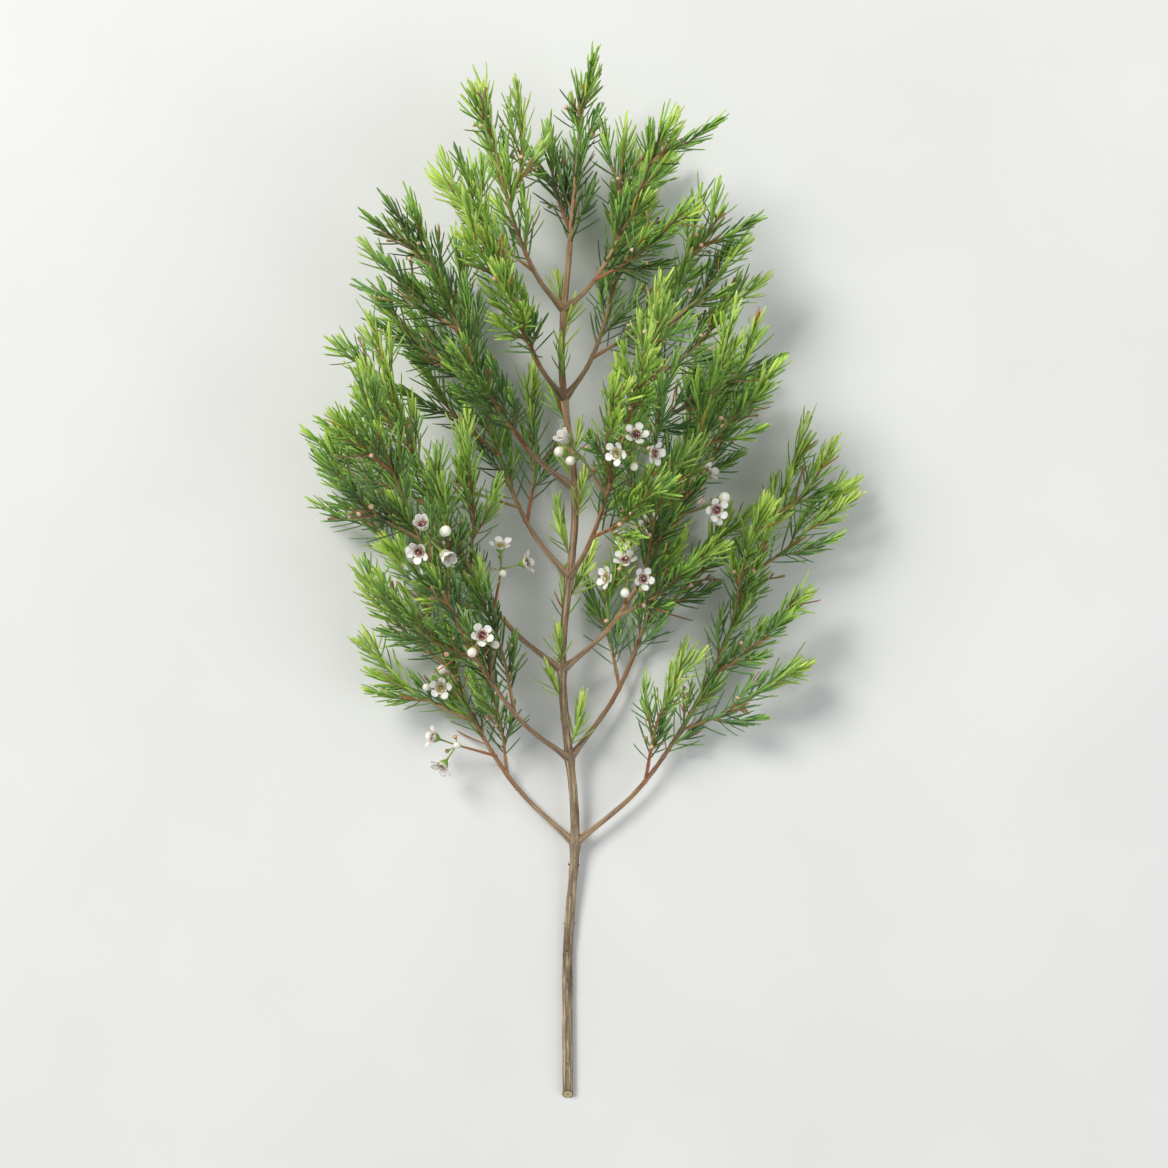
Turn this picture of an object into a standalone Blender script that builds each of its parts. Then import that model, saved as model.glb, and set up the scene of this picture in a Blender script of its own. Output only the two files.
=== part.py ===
"""A cut waxflower stem, lying on a table.

A woody stem carries leafy sprays in opposite pairs. Short stalks on the sprays carry flower heads:
white five-petalled blooms round a dark nectar cup, and round buds. All sizes are in metres, +Y runs
from the cut end to the tip and +Z is up, with the table at z = 0.

The stem is planned first, as centre lines, and then built from that plan.
"""

import math
import random

import bpy
import bmesh
import numpy as np
from mathutils import Matrix, Quaternion, Vector

# The whole stem
SEED = 11
AXIS_LENGTH = 0.455
LEADER_LENGTH = 0.085
LEADER_SPREAD = 0.0
LEADER_CLOSE = 0.06
LEADER_TURN = 1.2
BUTT_RADIUS = 0.0028
AXIS_TIP_RADIUS = 0.0015
BUTT_STRAIGHT = 0.080
BUTT_CUT_SLOPE = 0.9
AXIS_SIDES = 8
AXIS_RINGS = 18
AXIS_POINTS = 61

# Sprays, in pairs at nodes along the woody stem
NODE_COUNT = 7
FIRST_NODE = 0.138
LAST_NODE = 0.425
LONGEST_SPRAY = 0.265
SHORTEST_SPRAY = 0.120
SPRAY_SPREAD = math.radians(58)
SPRAY_CLOSE = math.radians(14)
SPRAY_TURNS = ((12, 172), (112, -27), (6, 176), (66, 206), (-4, 172), (110, -28), (20, 150))
SPRAY_TRIES = (-16, -8, 0, 8, 16)
UP_SQUASH = 0.8
WOODY_RUNS = 1
WOODY_RADIUS = 0.0016
TWIG_RADIUS = 0.00125
TWIG_TIP_RADIUS = 0.00115
TWIG_TIP = 0.003

# Side shoots on each spray
SHOOT_PITCH = 0.031
SHOOT_START = 0.20
SHOOT_END = 0.80
SHOOT_SHARE = 0.72
LEADER_SHOOT_START = 0.12
SHOOT_LENGTH = 0.072
SHOOT_SPREAD = math.radians(52)
SHOOT_CLOSE = math.radians(13)
SHOOT_WAYS = 8

# Needle leaves
NEEDLE_LENGTH = 0.022
NEEDLE_RADIUS = 0.00078
NEEDLE_BALLS = 8
NEEDLE_PITCH = 0.0127
NEEDLE_SPREAD = math.radians(52)
NEEDLE_TIP_SPREAD = math.radians(30)
NEEDLE_CLOSE = math.radians(17)
NEEDLE_TURNS = (0.0, 0.35, -0.35, 0.7, -0.7, 1.1, -1.1)
NEEDLE_FIRST_ON_TWIG = 0.45
NEEDLE_FIRST_ON_SHOOT = 0.28
NEEDLE_FIRST_ON_LEADER = 0.10
NEEDLE_LAST = 0.97

# Flower heads
HEAD_COUNT = 14
HEAD_REACH = 0.36
HEAD_SHARES = (0.24, 0.36, 0.48, 0.60)
HEAD_WAYS = 10
HEAD_KINDS = ((2, 1), (1, 2), (3, 1), (1, 2), (2, 1))
HEAD_LIKES_UP = 0.006
FACING_UP = 0.55
FACING_AHEAD = 0.25
BLOOM_OPENINGS = (1.0, 0.82, 1.0, 0.35)
BUD_SHARES = (0.72, 1.0, 0.86)
STALK_LENGTH = 0.022
STALK_RADIUS = 0.0010
STALK_SPREAD = math.radians(66)
STALK_CLOSE = math.radians(38)
HUB_LENGTH = 0.0030
HUB_RADIUS = 0.0011
PEDICEL_RADIUS = 0.0006
BLOOM_PEDICEL = 0.0105
BUD_PEDICEL = 0.0062
PEDICEL_SPREAD = math.radians(40)
LONE_BLOOM_SPREAD = math.radians(14)
CUP_HEIGHT = 0.0042
CUP_RADIUS = 0.0028
CUP_WALL = 0.0002
CUP_DEPTH = 0.0010
CUP_SIDES = 10
PETAL_LENGTH = 0.0042
PETAL_WIDTH = 0.0045
PETAL_THICKNESS = 0.0007
PETAL_LIFT = 0.0009
PETAL_OUTLINE = ((0.52, -0.50), (0.96, -0.27), (0.96, 0.27), (0.52, 0.50))
PETAL_UPRIGHT = math.radians(75)
PETAL_OPEN = math.radians(12)
DISC_RADIUS = 0.00175
DISC_TAPER = 0.82
DISC_STANDS_OUT = 0.0002
BUD_RADIUS = 0.0028
BUD_SIDES = 5
BUD_OUTLINE = ((0.72, -0.35), (1.00, 0.55), (0.74, 1.30))
BUD_TOP = 1.62

# How shoots bend
GROWTH_STEPS = 6
TURN_RATE = 3.2
SPRAY_RUNS = 6
SHOOT_RUNS = 2

# Seats and the table
SEAT_GAP = 0.0003
CLEARANCE = 0.0008
TWIG_FLOOR = 0.0045
TWIG_FLOOR_ZONE = 0.018
NEEDLE_FLOOR = 0.0009
NEEDLE_FLOOR_ZONE = 0.006

# The middle of the laid stem's footprint, which becomes the origin
FOOTPRINT_MIDDLE = Vector((0.0088, 0.2793, 0.0))

X = Vector((1, 0, 0))
Y = Vector((0, 1, 0))
Z = Vector((0, 0, 1))

COLOURS = {
    "bark": ((0.30, 0.16, 0.08, 1.0), 0.75),
    "leaf": ((0.16, 0.34, 0.05, 1.0), 0.50),
    "petal": ((0.86, 0.86, 0.80, 1.0), 0.45),
    "nectar_disc_red": ((0.16, 0.02, 0.03, 1.0), 0.35),
    "nectar_disc_olive": ((0.26, 0.24, 0.05, 1.0), 0.35),
}


# Centre lines
class Shoot:
    """A growing line: its points, its radius at the root and the tip, and the node that it belongs to."""

    def __init__(self, points, root_radius, tip_radius, owner, outward=None):
        self.points = points
        self.root_radius = root_radius
        self.tip_radius = tip_radius
        self.owner = owner
        self.outward = outward
        self.length = sum((b - a).length for a, b in zip(points, points[1:]))

    def at(self, share):
        """The point and the direction at a share of the length."""
        place = min(max(share, 0.0), 1.0) * (len(self.points) - 1)
        i = min(int(place), len(self.points) - 2)
        a, b = self.points[i], self.points[i + 1]
        return a.lerp(b, place - i), (b - a).normalized()

    def radius(self, share):
        return self.root_radius + (self.tip_radius - self.root_radius) * share


def smooth_line(knots, count):
    """Points evenly spread in parameter along a Catmull-Rom curve through the knots."""
    padded = [2 * knots[0] - knots[1], *knots, 2 * knots[-1] - knots[-2]]
    line = []
    for k in range(count):
        place = k / (count - 1) * (len(knots) - 1)
        i = min(int(place), len(knots) - 2)
        t = place - i
        a, b, c, d = padded[i : i + 4]
        line.append(
            0.5 * (2 * b + (c - a) * t + (2 * a - 5 * b + 4 * c - d) * t * t
                   + (3 * b - a - 3 * c + d) * t ** 3)
        )
    return line


def perpendicular(direction, angle):
    """A unit vector square to a direction, at an angle round it, with 0 sideways and 90 degrees up."""
    side = direction.cross(Z)
    side = X.copy() if side.length < 1e-6 else side.normalized()
    up = side.cross(direction).normalized()
    return side * math.cos(angle) + up * math.sin(angle)


def grow(start, heading, outward, length, spread, close, joints, floor, zone):
    """The ends of a shoot's straight runs. It leaves at an angle from its heading, turns in as it goes, and
    levels off where the table is near."""
    steps = joints * GROWTH_STEPS
    points = [start.copy()]
    for i in range(steps):
        angle = close + (spread - close) * math.exp(-TURN_RATE * (i + 0.5) / steps)
        direction = heading * math.cos(angle) + outward * math.sin(angle)
        if direction.z < 0:
            direction.z *= min(1.0, max(0.0, (points[-1].z - floor) / zone))
        points.append(points[-1] + direction.normalized() * (length / steps))
    return points[::GROWTH_STEPS]


# Room between the pieces
class Crowd:
    """Every ball along the centre lines planned so far, to find what a new piece would touch."""

    def __init__(self):
        self.centres = np.zeros((0, 3))
        self.radii = np.zeros(0)
        self.owners = np.zeros(0, int)
        self.names = {}

    def add(self, points, radius, owner):
        key = self.names.setdefault(owner, len(self.names))
        self.centres = np.vstack([self.centres, np.array([tuple(p) for p in points])])
        self.radii = np.append(self.radii, np.full(len(points), radius))
        self.owners = np.append(self.owners, np.full(len(points), key))

    def room(self, points, skip=()):
        """The smallest gap between these points and the balls of the owners that aren't skipped."""
        kept = ~np.isin(self.owners, [self.names[o] for o in skip if o in self.names])
        if not kept.any():
            return 1.0
        mine = np.array([tuple(p) for p in points])
        apart = np.linalg.norm(mine[:, None] - self.centres[None, kept], axis=2)
        return float((apart - self.radii[None, kept]).min())


def spaced(shoot, start=0.0, end=1.0, pitch=0.002):
    """Points along a shoot, a fixed pitch apart."""
    count = max(2, int(shoot.length * (end - start) / pitch) + 1)
    return [shoot.at(start + (end - start) * i / (count - 1))[0] for i in range(count)]


# The plan
def plan_axis():
    """The woody stem: straight where it lies on the table, then lifted by the foliage under it."""
    flat = BUTT_RADIUS * math.cos(math.pi / AXIS_SIDES)
    knots = [
        Vector((0.000, 0.000, flat)),
        Vector((0.000, BUTT_STRAIGHT, flat)),
        Vector((0.004, 0.150, 0.009)),
        Vector((-0.003, 0.235, 0.022)),
        Vector((0.004, 0.320, 0.032)),
        Vector((-0.003, 0.395, 0.037)),
        Vector((0.001, AXIS_LENGTH, 0.038)),
    ]
    points = smooth_line(knots, AXIS_POINTS)
    for point in points:
        point.z = max(point.z, flat)
    return Shoot(points, BUTT_RADIUS, AXIS_TIP_RADIUS, "woody_stem")


def axis_share(axis, along):
    """The share of the axis at which it has run this far along Y."""
    shares = [i / 240 for i in range(241)]
    return min(shares, key=lambda s: abs(axis.at(s)[0].y - along))


def plan_sprays(axis, crowd):
    """Leading lines of the sprays: opposite pairs, each pair turned from the last, and the leader."""
    dice = random.Random(SEED)
    sprays = []
    crowd.add(spaced(axis), BUTT_RADIUS, axis.owner)
    for node in range(NODE_COUNT):
        share = node / (NODE_COUNT - 1)
        place = axis_share(axis, FIRST_NODE + (LAST_NODE - FIRST_NODE) * share)
        start, heading = axis.at(place)
        for around in SPRAY_TURNS[node]:
            length = LONGEST_SPRAY + (SHORTEST_SPRAY - LONGEST_SPRAY) * share
            length *= dice.uniform(0.93, 1.07)
            ways = []
            for turn in SPRAY_TRIES:
                outward = perpendicular(heading, math.radians(around + turn))
                outward.z *= UP_SQUASH if outward.z > 0 else 1.0
                outward.normalize()
                ways.append((grow(start, heading, outward, length, SPRAY_SPREAD, SPRAY_CLOSE, SPRAY_RUNS,
                                  TWIG_FLOOR, TWIG_FLOOR_ZONE), outward))
            points, outward = max(ways, key=lambda way: crowd.room(way[0][WOODY_RUNS + 1 :]))
            spray = Shoot(points, WOODY_RADIUS, TWIG_TIP_RADIUS, f"spray_{len(sprays) + 1:02d}", outward)
            sprays.append(spray)
            foot = Shoot(points[: WOODY_RUNS + 1], WOODY_RADIUS, WOODY_RADIUS, axis.owner)
            crowd.add(spaced(foot), WOODY_RADIUS, axis.owner)
            crowd.add(spaced(spray, WOODY_RUNS / SPRAY_RUNS), TWIG_RADIUS, spray.owner)
    start, heading = axis.at(1.0)
    name = f"spray_{len(sprays) + 1:02d}"
    outward = perpendicular(heading, LEADER_TURN)
    points = grow(start, heading, outward, LEADER_LENGTH, LEADER_SPREAD, LEADER_CLOSE, SHOOT_RUNS,
                  TWIG_FLOOR, TWIG_FLOOR_ZONE)
    sprays.append(Shoot(points, AXIS_TIP_RADIUS, TWIG_TIP_RADIUS, name, outward))
    crowd.add(spaced(sprays[-1]), TWIG_RADIUS, name)
    return sprays


def plan_side_shoots(sprays, crowd):
    """Side shoots along each spray, each sent round it to where there is most room."""
    shoots = {spray.owner: [] for spray in sprays}
    for spray in sprays:
        first = LEADER_SHOOT_START if spray is sprays[-1] else SHOOT_START
        count = max(2, int(spray.length * (SHOOT_END - first) / SHOOT_PITCH) + 1)
        for i in range(count):
            share = first + (SHOOT_END - first) * i / (count - 1)
            start, heading = spray.at(share)
            length = min(SHOOT_LENGTH, spray.length * (1.0 - share) * SHOOT_SHARE + TWIG_TIP)
            ways = []
            for k in range(SHOOT_WAYS):
                outward = perpendicular(heading, 2 * math.pi * (k + 0.5 * (i % 2)) / SHOOT_WAYS)
                points = grow(start, heading, outward, length, SHOOT_SPREAD, SHOOT_CLOSE,
                              SHOOT_RUNS, TWIG_FLOOR, TWIG_FLOOR_ZONE)
                way = Shoot(points, TWIG_RADIUS, TWIG_TIP_RADIUS, spray.owner, outward)
                if crowd.room(spaced(way), (spray.owner,)) > TWIG_RADIUS + CLEARANCE:
                    ways.append(way)
            if not ways:
                continue
            shoot = max(ways, key=lambda way: crowd.room(spaced(way, 0.5)))
            shoots[spray.owner].append(shoot)
            crowd.add(spaced(shoot, 0.15), TWIG_RADIUS, spray.owner)
    return shoots


class Flower:
    """A bloom or a bud: its place and turn at the rim of its cup, its pedicel, opening and size."""

    def __init__(self, matrix, pedicel, opening, size):
        self.matrix = matrix
        self.pedicel = pedicel
        self.opening = opening
        self.size = size

    def balls(self):
        """Balls that fill the flower: its pedicel and cup, then its petals or its bud."""
        filled = [(Vector((0, 0, -CUP_HEIGHT - self.pedicel * k / 3)), PEDICEL_RADIUS) for k in range(3)]
        if self.opening is None:
            filled.append((Vector((0, 0, 0.55 * self.size)), 1.1 * self.size))
        else:
            out, up = petal_lean(self.opening)
            filled.append((Vector((0, 0, -CUP_DEPTH)), CUP_RADIUS * 1.2))
            for k in range(5):
                turn = Matrix.Rotation(2 * math.pi * (2 * k + 1) / CUP_SIDES, 3, "Z")
                reach = CUP_RADIUS + 0.6 * PETAL_LENGTH * out
                filled.append((turn @ Vector((reach, 0, 0.6 * PETAL_LENGTH * up + PETAL_LIFT)),
                               PETAL_WIDTH * 0.6))
        return [(self.matrix @ place, radius) for place, radius in filled]


class Head:
    """A flower head: where it is seated on its stalk, the way the stalk runs, and its flowers."""

    def __init__(self, stalk, facing, index):
        tip, heading = stalk.at(1.0)
        self.stalk = stalk
        self.seat = tip + heading * SEAT_GAP
        self.hub_end = self.seat + heading * HUB_LENGTH
        self.name = f"flower_head_{index + 1:02d}"
        blooms, buds = HEAD_KINDS[index % len(HEAD_KINDS)]
        turn = facing.to_track_quat("Z", "Y")
        self.flowers = []
        for i in range(blooms + buds):
            around = 2 * math.pi * i / (blooms + buds) + index
            spread = LONE_BLOOM_SPREAD if i < blooms == 1 else PEDICEL_SPREAD
            tilt = Quaternion(Vector((-math.sin(around), math.cos(around), 0)), spread)
            rotation = turn @ tilt
            pedicel = BLOOM_PEDICEL if i < blooms else BUD_PEDICEL
            rim = self.hub_end - heading * HUB_RADIUS / 2 + (rotation @ Z) * (pedicel + CUP_HEIGHT)
            matrix = Matrix.Translation(rim) @ rotation.to_matrix().to_4x4()
            opening = BLOOM_OPENINGS[(index + 2 * i) % len(BLOOM_OPENINGS)] if i < blooms else None
            size = BUD_RADIUS * BUD_SHARES[(index + i) % len(BUD_SHARES)]
            self.flowers.append(Flower(matrix, pedicel, opening, size))

    def room(self, crowd):
        """The smallest gap between the head and what is planned so far, or above the table."""
        balls = [ball for flower in self.flowers for ball in flower.balls()]
        gaps = [min(crowd.room([place]), place.z) - radius for place, radius in balls]
        return min(gaps)


def petal_lean(opening):
    """How far a petal runs out and up for each unit of its length, from nearly shut at 0 to open at 1."""
    lean = PETAL_UPRIGHT + (PETAL_OPEN - PETAL_UPRIGHT) * opening
    return math.cos(lean), math.sin(lean)


def plan_heads(sprays, crowd):
    """Flower heads on short stalks along the lower part of the sprays, sent to where there is room."""
    dice = random.Random(SEED + 1)
    stalks = {spray.owner: [] for spray in sprays}
    heads = []
    chances = [(spray, share) for share in HEAD_SHARES for spray in sprays[:-1]]
    dice.shuffle(chances)
    for spray, share in chances:
        start, heading = spray.at(share)
        if len(heads) == HEAD_COUNT or start.y > HEAD_REACH:
            continue
        best, best_score = None, 0.0
        for k in range(HEAD_WAYS):
            outward = perpendicular(heading, 2 * math.pi * k / HEAD_WAYS)
            points = grow(start, heading, outward, STALK_LENGTH, STALK_SPREAD, STALK_CLOSE, 1,
                          TWIG_FLOOR, TWIG_FLOOR_ZONE)
            stalk = Shoot(points, STALK_RADIUS, STALK_RADIUS, spray.owner, outward)
            facing = (outward + FACING_UP * Z + FACING_AHEAD * heading).normalized()
            head = Head(stalk, facing, len(heads))
            room = head.room(crowd)
            score = room + HEAD_LIKES_UP * outward.z
            if room > CLEARANCE and (best is None or score > best_score):
                best, best_score = head, score
        if best is None:
            continue
        stalks[spray.owner].append(best.stalk)
        heads.append(best)
        crowd.add(spaced(best.stalk), STALK_RADIUS, spray.owner)
        for flower in best.flowers:
            for place, radius in flower.balls():
                crowd.add([place], radius, best.name)
    return heads, stalks


def plan_needles(sprays, side_shoots, crowd):
    """Opposite pairs of needles along every leafy shoot, each turned a little where it would touch."""
    dice = random.Random(SEED + 2)
    needles = {spray.owner: [] for spray in sprays}
    for spray in sprays:
        lines = [(spray, NEEDLE_FIRST_ON_LEADER if spray is sprays[-1] else NEEDLE_FIRST_ON_TWIG)]
        lines += [(shoot, NEEDLE_FIRST_ON_SHOOT) for shoot in side_shoots[spray.owner]]
        for shoot, first in lines:
            count = max(2, round(shoot.length * (NEEDLE_LAST - first) / NEEDLE_PITCH) + 1)
            for i in range(count):
                share = first + (NEEDLE_LAST - first) * i / (count - 1)
                start, heading = shoot.at(share)
                out = (shoot.outward - heading * shoot.outward.dot(heading)).normalized()
                across = heading.cross(out)
                for side in range(2):
                    length = NEEDLE_LENGTH * dice.uniform(0.85, 1.12)
                    spread = NEEDLE_SPREAD + (NEEDLE_TIP_SPREAD - NEEDLE_SPREAD) * share
                    for turn in NEEDLE_TURNS:
                        around = math.pi / 2 * (i % 2) + side * math.pi + turn
                        away = out * math.cos(around) + across * math.sin(around)
                        root, tip = grow(start, heading, away, length, spread, NEEDLE_CLOSE, 1,
                                         NEEDLE_FLOOR, NEEDLE_FLOOR_ZONE)
                        balls = [root.lerp(tip, k / NEEDLE_BALLS) for k in range(1, NEEDLE_BALLS + 1)]
                        if (crowd.room(balls, (spray.owner,)) > NEEDLE_RADIUS + CLEARANCE
                                and crowd.room(balls[NEEDLE_BALLS // 2 :]) > NEEDLE_RADIUS):
                            needles[spray.owner].append((root, tip, heading.cross(away)))
                            crowd.add(balls, NEEDLE_RADIUS * 0.7, spray.owner)
                            break
    return needles


# Meshes
def frames_along(points, outward=None):
    """A direction, side and up at each point. They start level, or square to the way the shoot grows out."""
    frames = []
    side = None if outward is None else (points[1] - points[0]).cross(outward)
    for i, point in enumerate(points):
        ahead = points[min(i + 1, len(points) - 1)] - points[max(i - 1, 0)]
        direction = ahead.normalized()
        if side is None:
            side = perpendicular(direction, 0.0)
        side = (side - direction * side.dot(direction)).normalized()
        frames.append((point, direction, side, side.cross(direction).normalized()))
    return frames


def tube(points, radii, sides, name, outward=None):
    """A closed tube through the points. A flat facet faces down, or away from the way it grows out."""
    mesh = bmesh.new()
    rings = []
    angles = [2 * math.pi * (k + 0.5) / sides - math.pi / 2 for k in range(sides)]
    for (point, _, side, up), radius in zip(frames_along(points, outward), radii):
        rings.append([mesh.verts.new(point + radius * (side * math.cos(a) + up * math.sin(a)))
                      for a in angles])
    mesh.faces.new(rings[-1])
    mesh.faces.new(rings[0][::-1])
    for below, above in zip(rings, rings[1:]):
        bridge(mesh, below, above)
    return finished(mesh, name)


def finished(mesh, name):
    """The bmesh as a mesh object's data, with its faces pointing out."""
    bmesh.ops.recalc_face_normals(mesh, faces=mesh.faces)
    data = bpy.data.meshes.new(name)
    mesh.to_mesh(data)
    mesh.free()
    return data


def shoot_tube(shoot, first, last, sides, name, gap=0.0):
    """The tube of a shoot from one of its joints to another, set back at its root by a gap."""
    points = list(shoot.points[first : last + 1])
    points[0] = points[0] + (points[1] - points[0]).normalized() * gap
    runs = len(shoot.points) - 1
    radii = [shoot.radius(i / runs) for i in range(first, last + 1)]
    return tube(points, radii, sides, name, shoot.outward)


def needle_mesh(root, tip, across, name):
    """A three-sided leaf, flat side down the shoot, drawn from its root to a point."""
    direction = (tip - root).normalized()
    back = direction.cross(across).normalized()
    mesh = bmesh.new()
    ring = []
    for k in range(3):
        angle = 2 * math.pi * (k + 0.75) / 3
        ring.append(mesh.verts.new(root + NEEDLE_RADIUS * (across * math.cos(angle) + back * math.sin(angle))))
    point = mesh.verts.new(tip)
    mesh.faces.new(ring[::-1])
    for k in range(3):
        mesh.faces.new((ring[k], ring[(k + 1) % 3], point))
    return finished(mesh, name)


def ring_of(mesh, matrix, radius, height, count, shift=0.0):
    """Corners of a ring round the matrix's own upright, at a height on it."""
    angles = [2 * math.pi * (k + shift) / count for k in range(count)]
    return [mesh.verts.new(matrix @ Vector((radius * math.cos(a), radius * math.sin(a), height)))
            for a in angles]


def bridge(mesh, lower, upper):
    """Faces between two rings with the same number of corners."""
    for k in range(len(lower)):
        n = (k + 1) % len(lower)
        mesh.faces.new((lower[k], lower[n], upper[n], upper[k]))


def bloom_mesh(mesh, flower):
    """Adds one bloom: a thin pedicel, a cup like a wine glass with a sunk floor, and five round petals."""
    sides = CUP_SIDES
    matrix = flower.matrix
    foot = ring_of(mesh, matrix, PEDICEL_RADIUS, -CUP_HEIGHT - flower.pedicel, sides // 2)
    neck = ring_of(mesh, matrix, PEDICEL_RADIUS * 1.3, -CUP_HEIGHT, sides // 2)
    outer = ring_of(mesh, matrix, CUP_RADIUS, -PETAL_THICKNESS, sides, 0.5)
    rim = ring_of(mesh, matrix, CUP_RADIUS - CUP_WALL, 0.0, sides, 0.5)
    floor = ring_of(mesh, matrix, CUP_RADIUS - 2 * CUP_WALL, -CUP_DEPTH, sides // 2)
    bridge(mesh, foot, neck)
    mesh.faces.new(foot[::-1])
    mesh.faces.new(floor)
    for k in range(sides // 2):
        low, high = neck[k], neck[(k + 1) % (sides // 2)]
        a, b, c = outer[2 * k], outer[2 * k + 1], outer[(2 * k - 1) % sides]
        mesh.faces.new((low, a, c))
        mesh.faces.new((low, high, b, a))
        a, b, c = rim[2 * k], rim[2 * k + 1], rim[(2 * k - 1) % sides]
        low, high = floor[k], floor[(k + 1) % (sides // 2)]
        mesh.faces.new((low, a, c))
        mesh.faces.new((low, high, b, a))
    reach, rise = petal_lean(flower.opening)
    out = Vector((reach, 0, rise))
    for k in range(sides):
        n = (k + 1) % sides
        if k % 2 == 1:
            mesh.faces.new((outer[k], outer[n], rim[n], rim[k]))
            continue
        turn = Matrix.Rotation(2 * math.pi * (k + 1) / sides, 3, "Z")
        across = turn @ Y
        along = turn @ out
        base = turn @ Vector((CUP_RADIUS, 0, 0))
        through = across.cross(along) * PETAL_THICKNESS
        edge = [base + along * (u * PETAL_LENGTH) + across * (v * PETAL_WIDTH) + Z * (PETAL_LIFT * u)
                for u, v in PETAL_OUTLINE]
        top = [mesh.verts.new(matrix @ point) for point in edge]
        under = [mesh.verts.new(matrix @ (point + through)) for point in edge]
        mesh.faces.new((rim[k], *top, rim[n]))
        mesh.faces.new((outer[n], *reversed(under), outer[k]))
        mesh.faces.new((outer[k], under[0], top[0], rim[k]))
        mesh.faces.new((rim[n], top[-1], under[-1], outer[n]))
        for i in range(len(edge) - 1):
            mesh.faces.new((top[i], under[i], under[i + 1], top[i + 1]))


def bud_mesh(mesh, flower):
    """Adds one bud: a thin pedicel that widens to a green cup, and the ball of folded petals on it."""
    profile = [(PEDICEL_RADIUS, -CUP_HEIGHT - flower.pedicel), (PEDICEL_RADIUS * 1.3, -CUP_HEIGHT)]
    profile += [(radius * flower.size, height * flower.size) for radius, height in BUD_OUTLINE]
    rings = [ring_of(mesh, flower.matrix, radius, height, BUD_SIDES) for radius, height in profile]
    top = mesh.verts.new(flower.matrix @ Vector((0, 0, BUD_TOP * flower.size)))
    mesh.faces.new(rings[0][::-1])
    for below, above in zip(rings, rings[1:]):
        bridge(mesh, below, above)
    for k in range(BUD_SIDES):
        mesh.faces.new((rings[-1][k], rings[-1][(k + 1) % BUD_SIDES], top))


# Objects
def material(slot):
    colour, roughness = COLOURS[slot]
    made = bpy.data.materials.get(slot) or bpy.data.materials.new(slot)
    made.use_nodes = True
    shader = made.node_tree.nodes["Principled BSDF"]
    shader.inputs["Base Color"].default_value = colour
    shader.inputs["Roughness"].default_value = roughness
    shader.inputs["Metallic"].default_value = 0.0
    made.diffuse_color = colour
    return made


def add_object(data, name, collection=None):
    thing = bpy.data.objects.new(name, data)
    (collection or bpy.context.scene.collection).objects.link(thing)
    return thing


def fuse(base, pieces, name, slot):
    """One object from a base mesh and the pieces that grow from it, joined by one Boolean union."""
    whole = add_object(base, name)
    if pieces:
        grown = bpy.data.collections.new("growing_from_" + name)
        bpy.context.scene.collection.children.link(grown)
        for i, data in enumerate(pieces):
            add_object(data, f"{name}_piece_{i:03d}", grown)
        union = whole.modifiers.new("fuse", "BOOLEAN")
        union.operation = "UNION"
        union.operand_type = "COLLECTION"
        union.collection = grown
        union.solver = "MANIFOLD"
        bpy.context.view_layer.update()
        graph = bpy.context.evaluated_depsgraph_get()
        fused = bpy.data.meshes.new_from_object(whole.evaluated_get(graph))
        whole.modifiers.clear()
        whole.data = fused
        for thing in list(grown.objects):
            bpy.data.objects.remove(thing)
        bpy.data.collections.remove(grown)
    whole.data.materials.clear()
    whole.data.materials.append(material(slot))
    settle(whole)


def settle(thing):
    """Flattens what presses on the table, moves the origin under the middle, and shades smoothly."""
    for v in thing.data.vertices:
        v.co.z = max(v.co.z, 0.0)
        v.co -= FOOTPRINT_MIDDLE
    thing.data.shade_smooth()
    thing.data.set_sharp_from_angle(angle=math.radians(50))


def build_woody_stem(axis, sprays):
    """The woody stem with an oblique cut, and the woody foot of each spray."""
    shares = [i / (AXIS_RINGS - 1) for i in range(AXIS_RINGS)]
    points = [axis.at(s)[0] for s in shares]
    straight = [p.y <= BUTT_STRAIGHT for p in points]
    radii = [BUTT_RADIUS if flat else axis.radius(s) for flat, s in zip(straight, shares)]
    stem = tube(points, radii, AXIS_SIDES, "woody_stem")
    for v in stem.vertices:
        if v.co.y < BUTT_RADIUS:
            v.co.y += v.co.z * BUTT_CUT_SLOPE
    feet = [shoot_tube(spray, 0, WOODY_RUNS, 5, "foot") for spray in sprays[:-1]]
    fuse(stem, feet, "woody_stem", "bark")


def build_spray(spray, first, shoots, stalks, needles):
    """One leafy spray: its twig, side shoots, flower stalks and needles, all in one body."""
    twig = shoot_tube(spray, first, len(spray.points) - 1, 4, spray.owner, SEAT_GAP)
    pieces = [shoot_tube(shoot, 0, SHOOT_RUNS, 4, "side_shoot") for shoot in shoots]
    pieces += [shoot_tube(stalk, 0, 1, 4, "stalk") for stalk in stalks]
    pieces += [needle_mesh(root, tip, across, "needle") for root, tip, across in needles]
    fuse(twig, pieces, spray.owner, "leaf")


def build_head(head):
    """A flower head: a hub seated on its stalk, with blooms and buds on pedicels."""
    hub = tube([head.seat, head.hub_end], [HUB_RADIUS, HUB_RADIUS], 5, head.name)
    pieces = []
    for flower in head.flowers:
        mesh = bmesh.new()
        if flower.opening is None:
            bud_mesh(mesh, flower)
        else:
            bloom_mesh(mesh, flower)
        pieces.append(finished(mesh, "flower"))
    fuse(hub, pieces, head.name, "petal")


def build_disc(matrix, number):
    """The nectar disc: a low drum that stands in the cup, clear of its wall and floor."""
    ends = [matrix @ Vector((0, 0, z)) for z in (-CUP_DEPTH + SEAT_GAP, DISC_STANDS_OUT)]
    data = tube(ends, [DISC_RADIUS, DISC_RADIUS * DISC_TAPER], 6, "disc")
    slot = "nectar_disc_olive" if number % 3 == 0 else "nectar_disc_red"
    fuse(data, [], f"nectar_disc_{number:02d}", slot)


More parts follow.
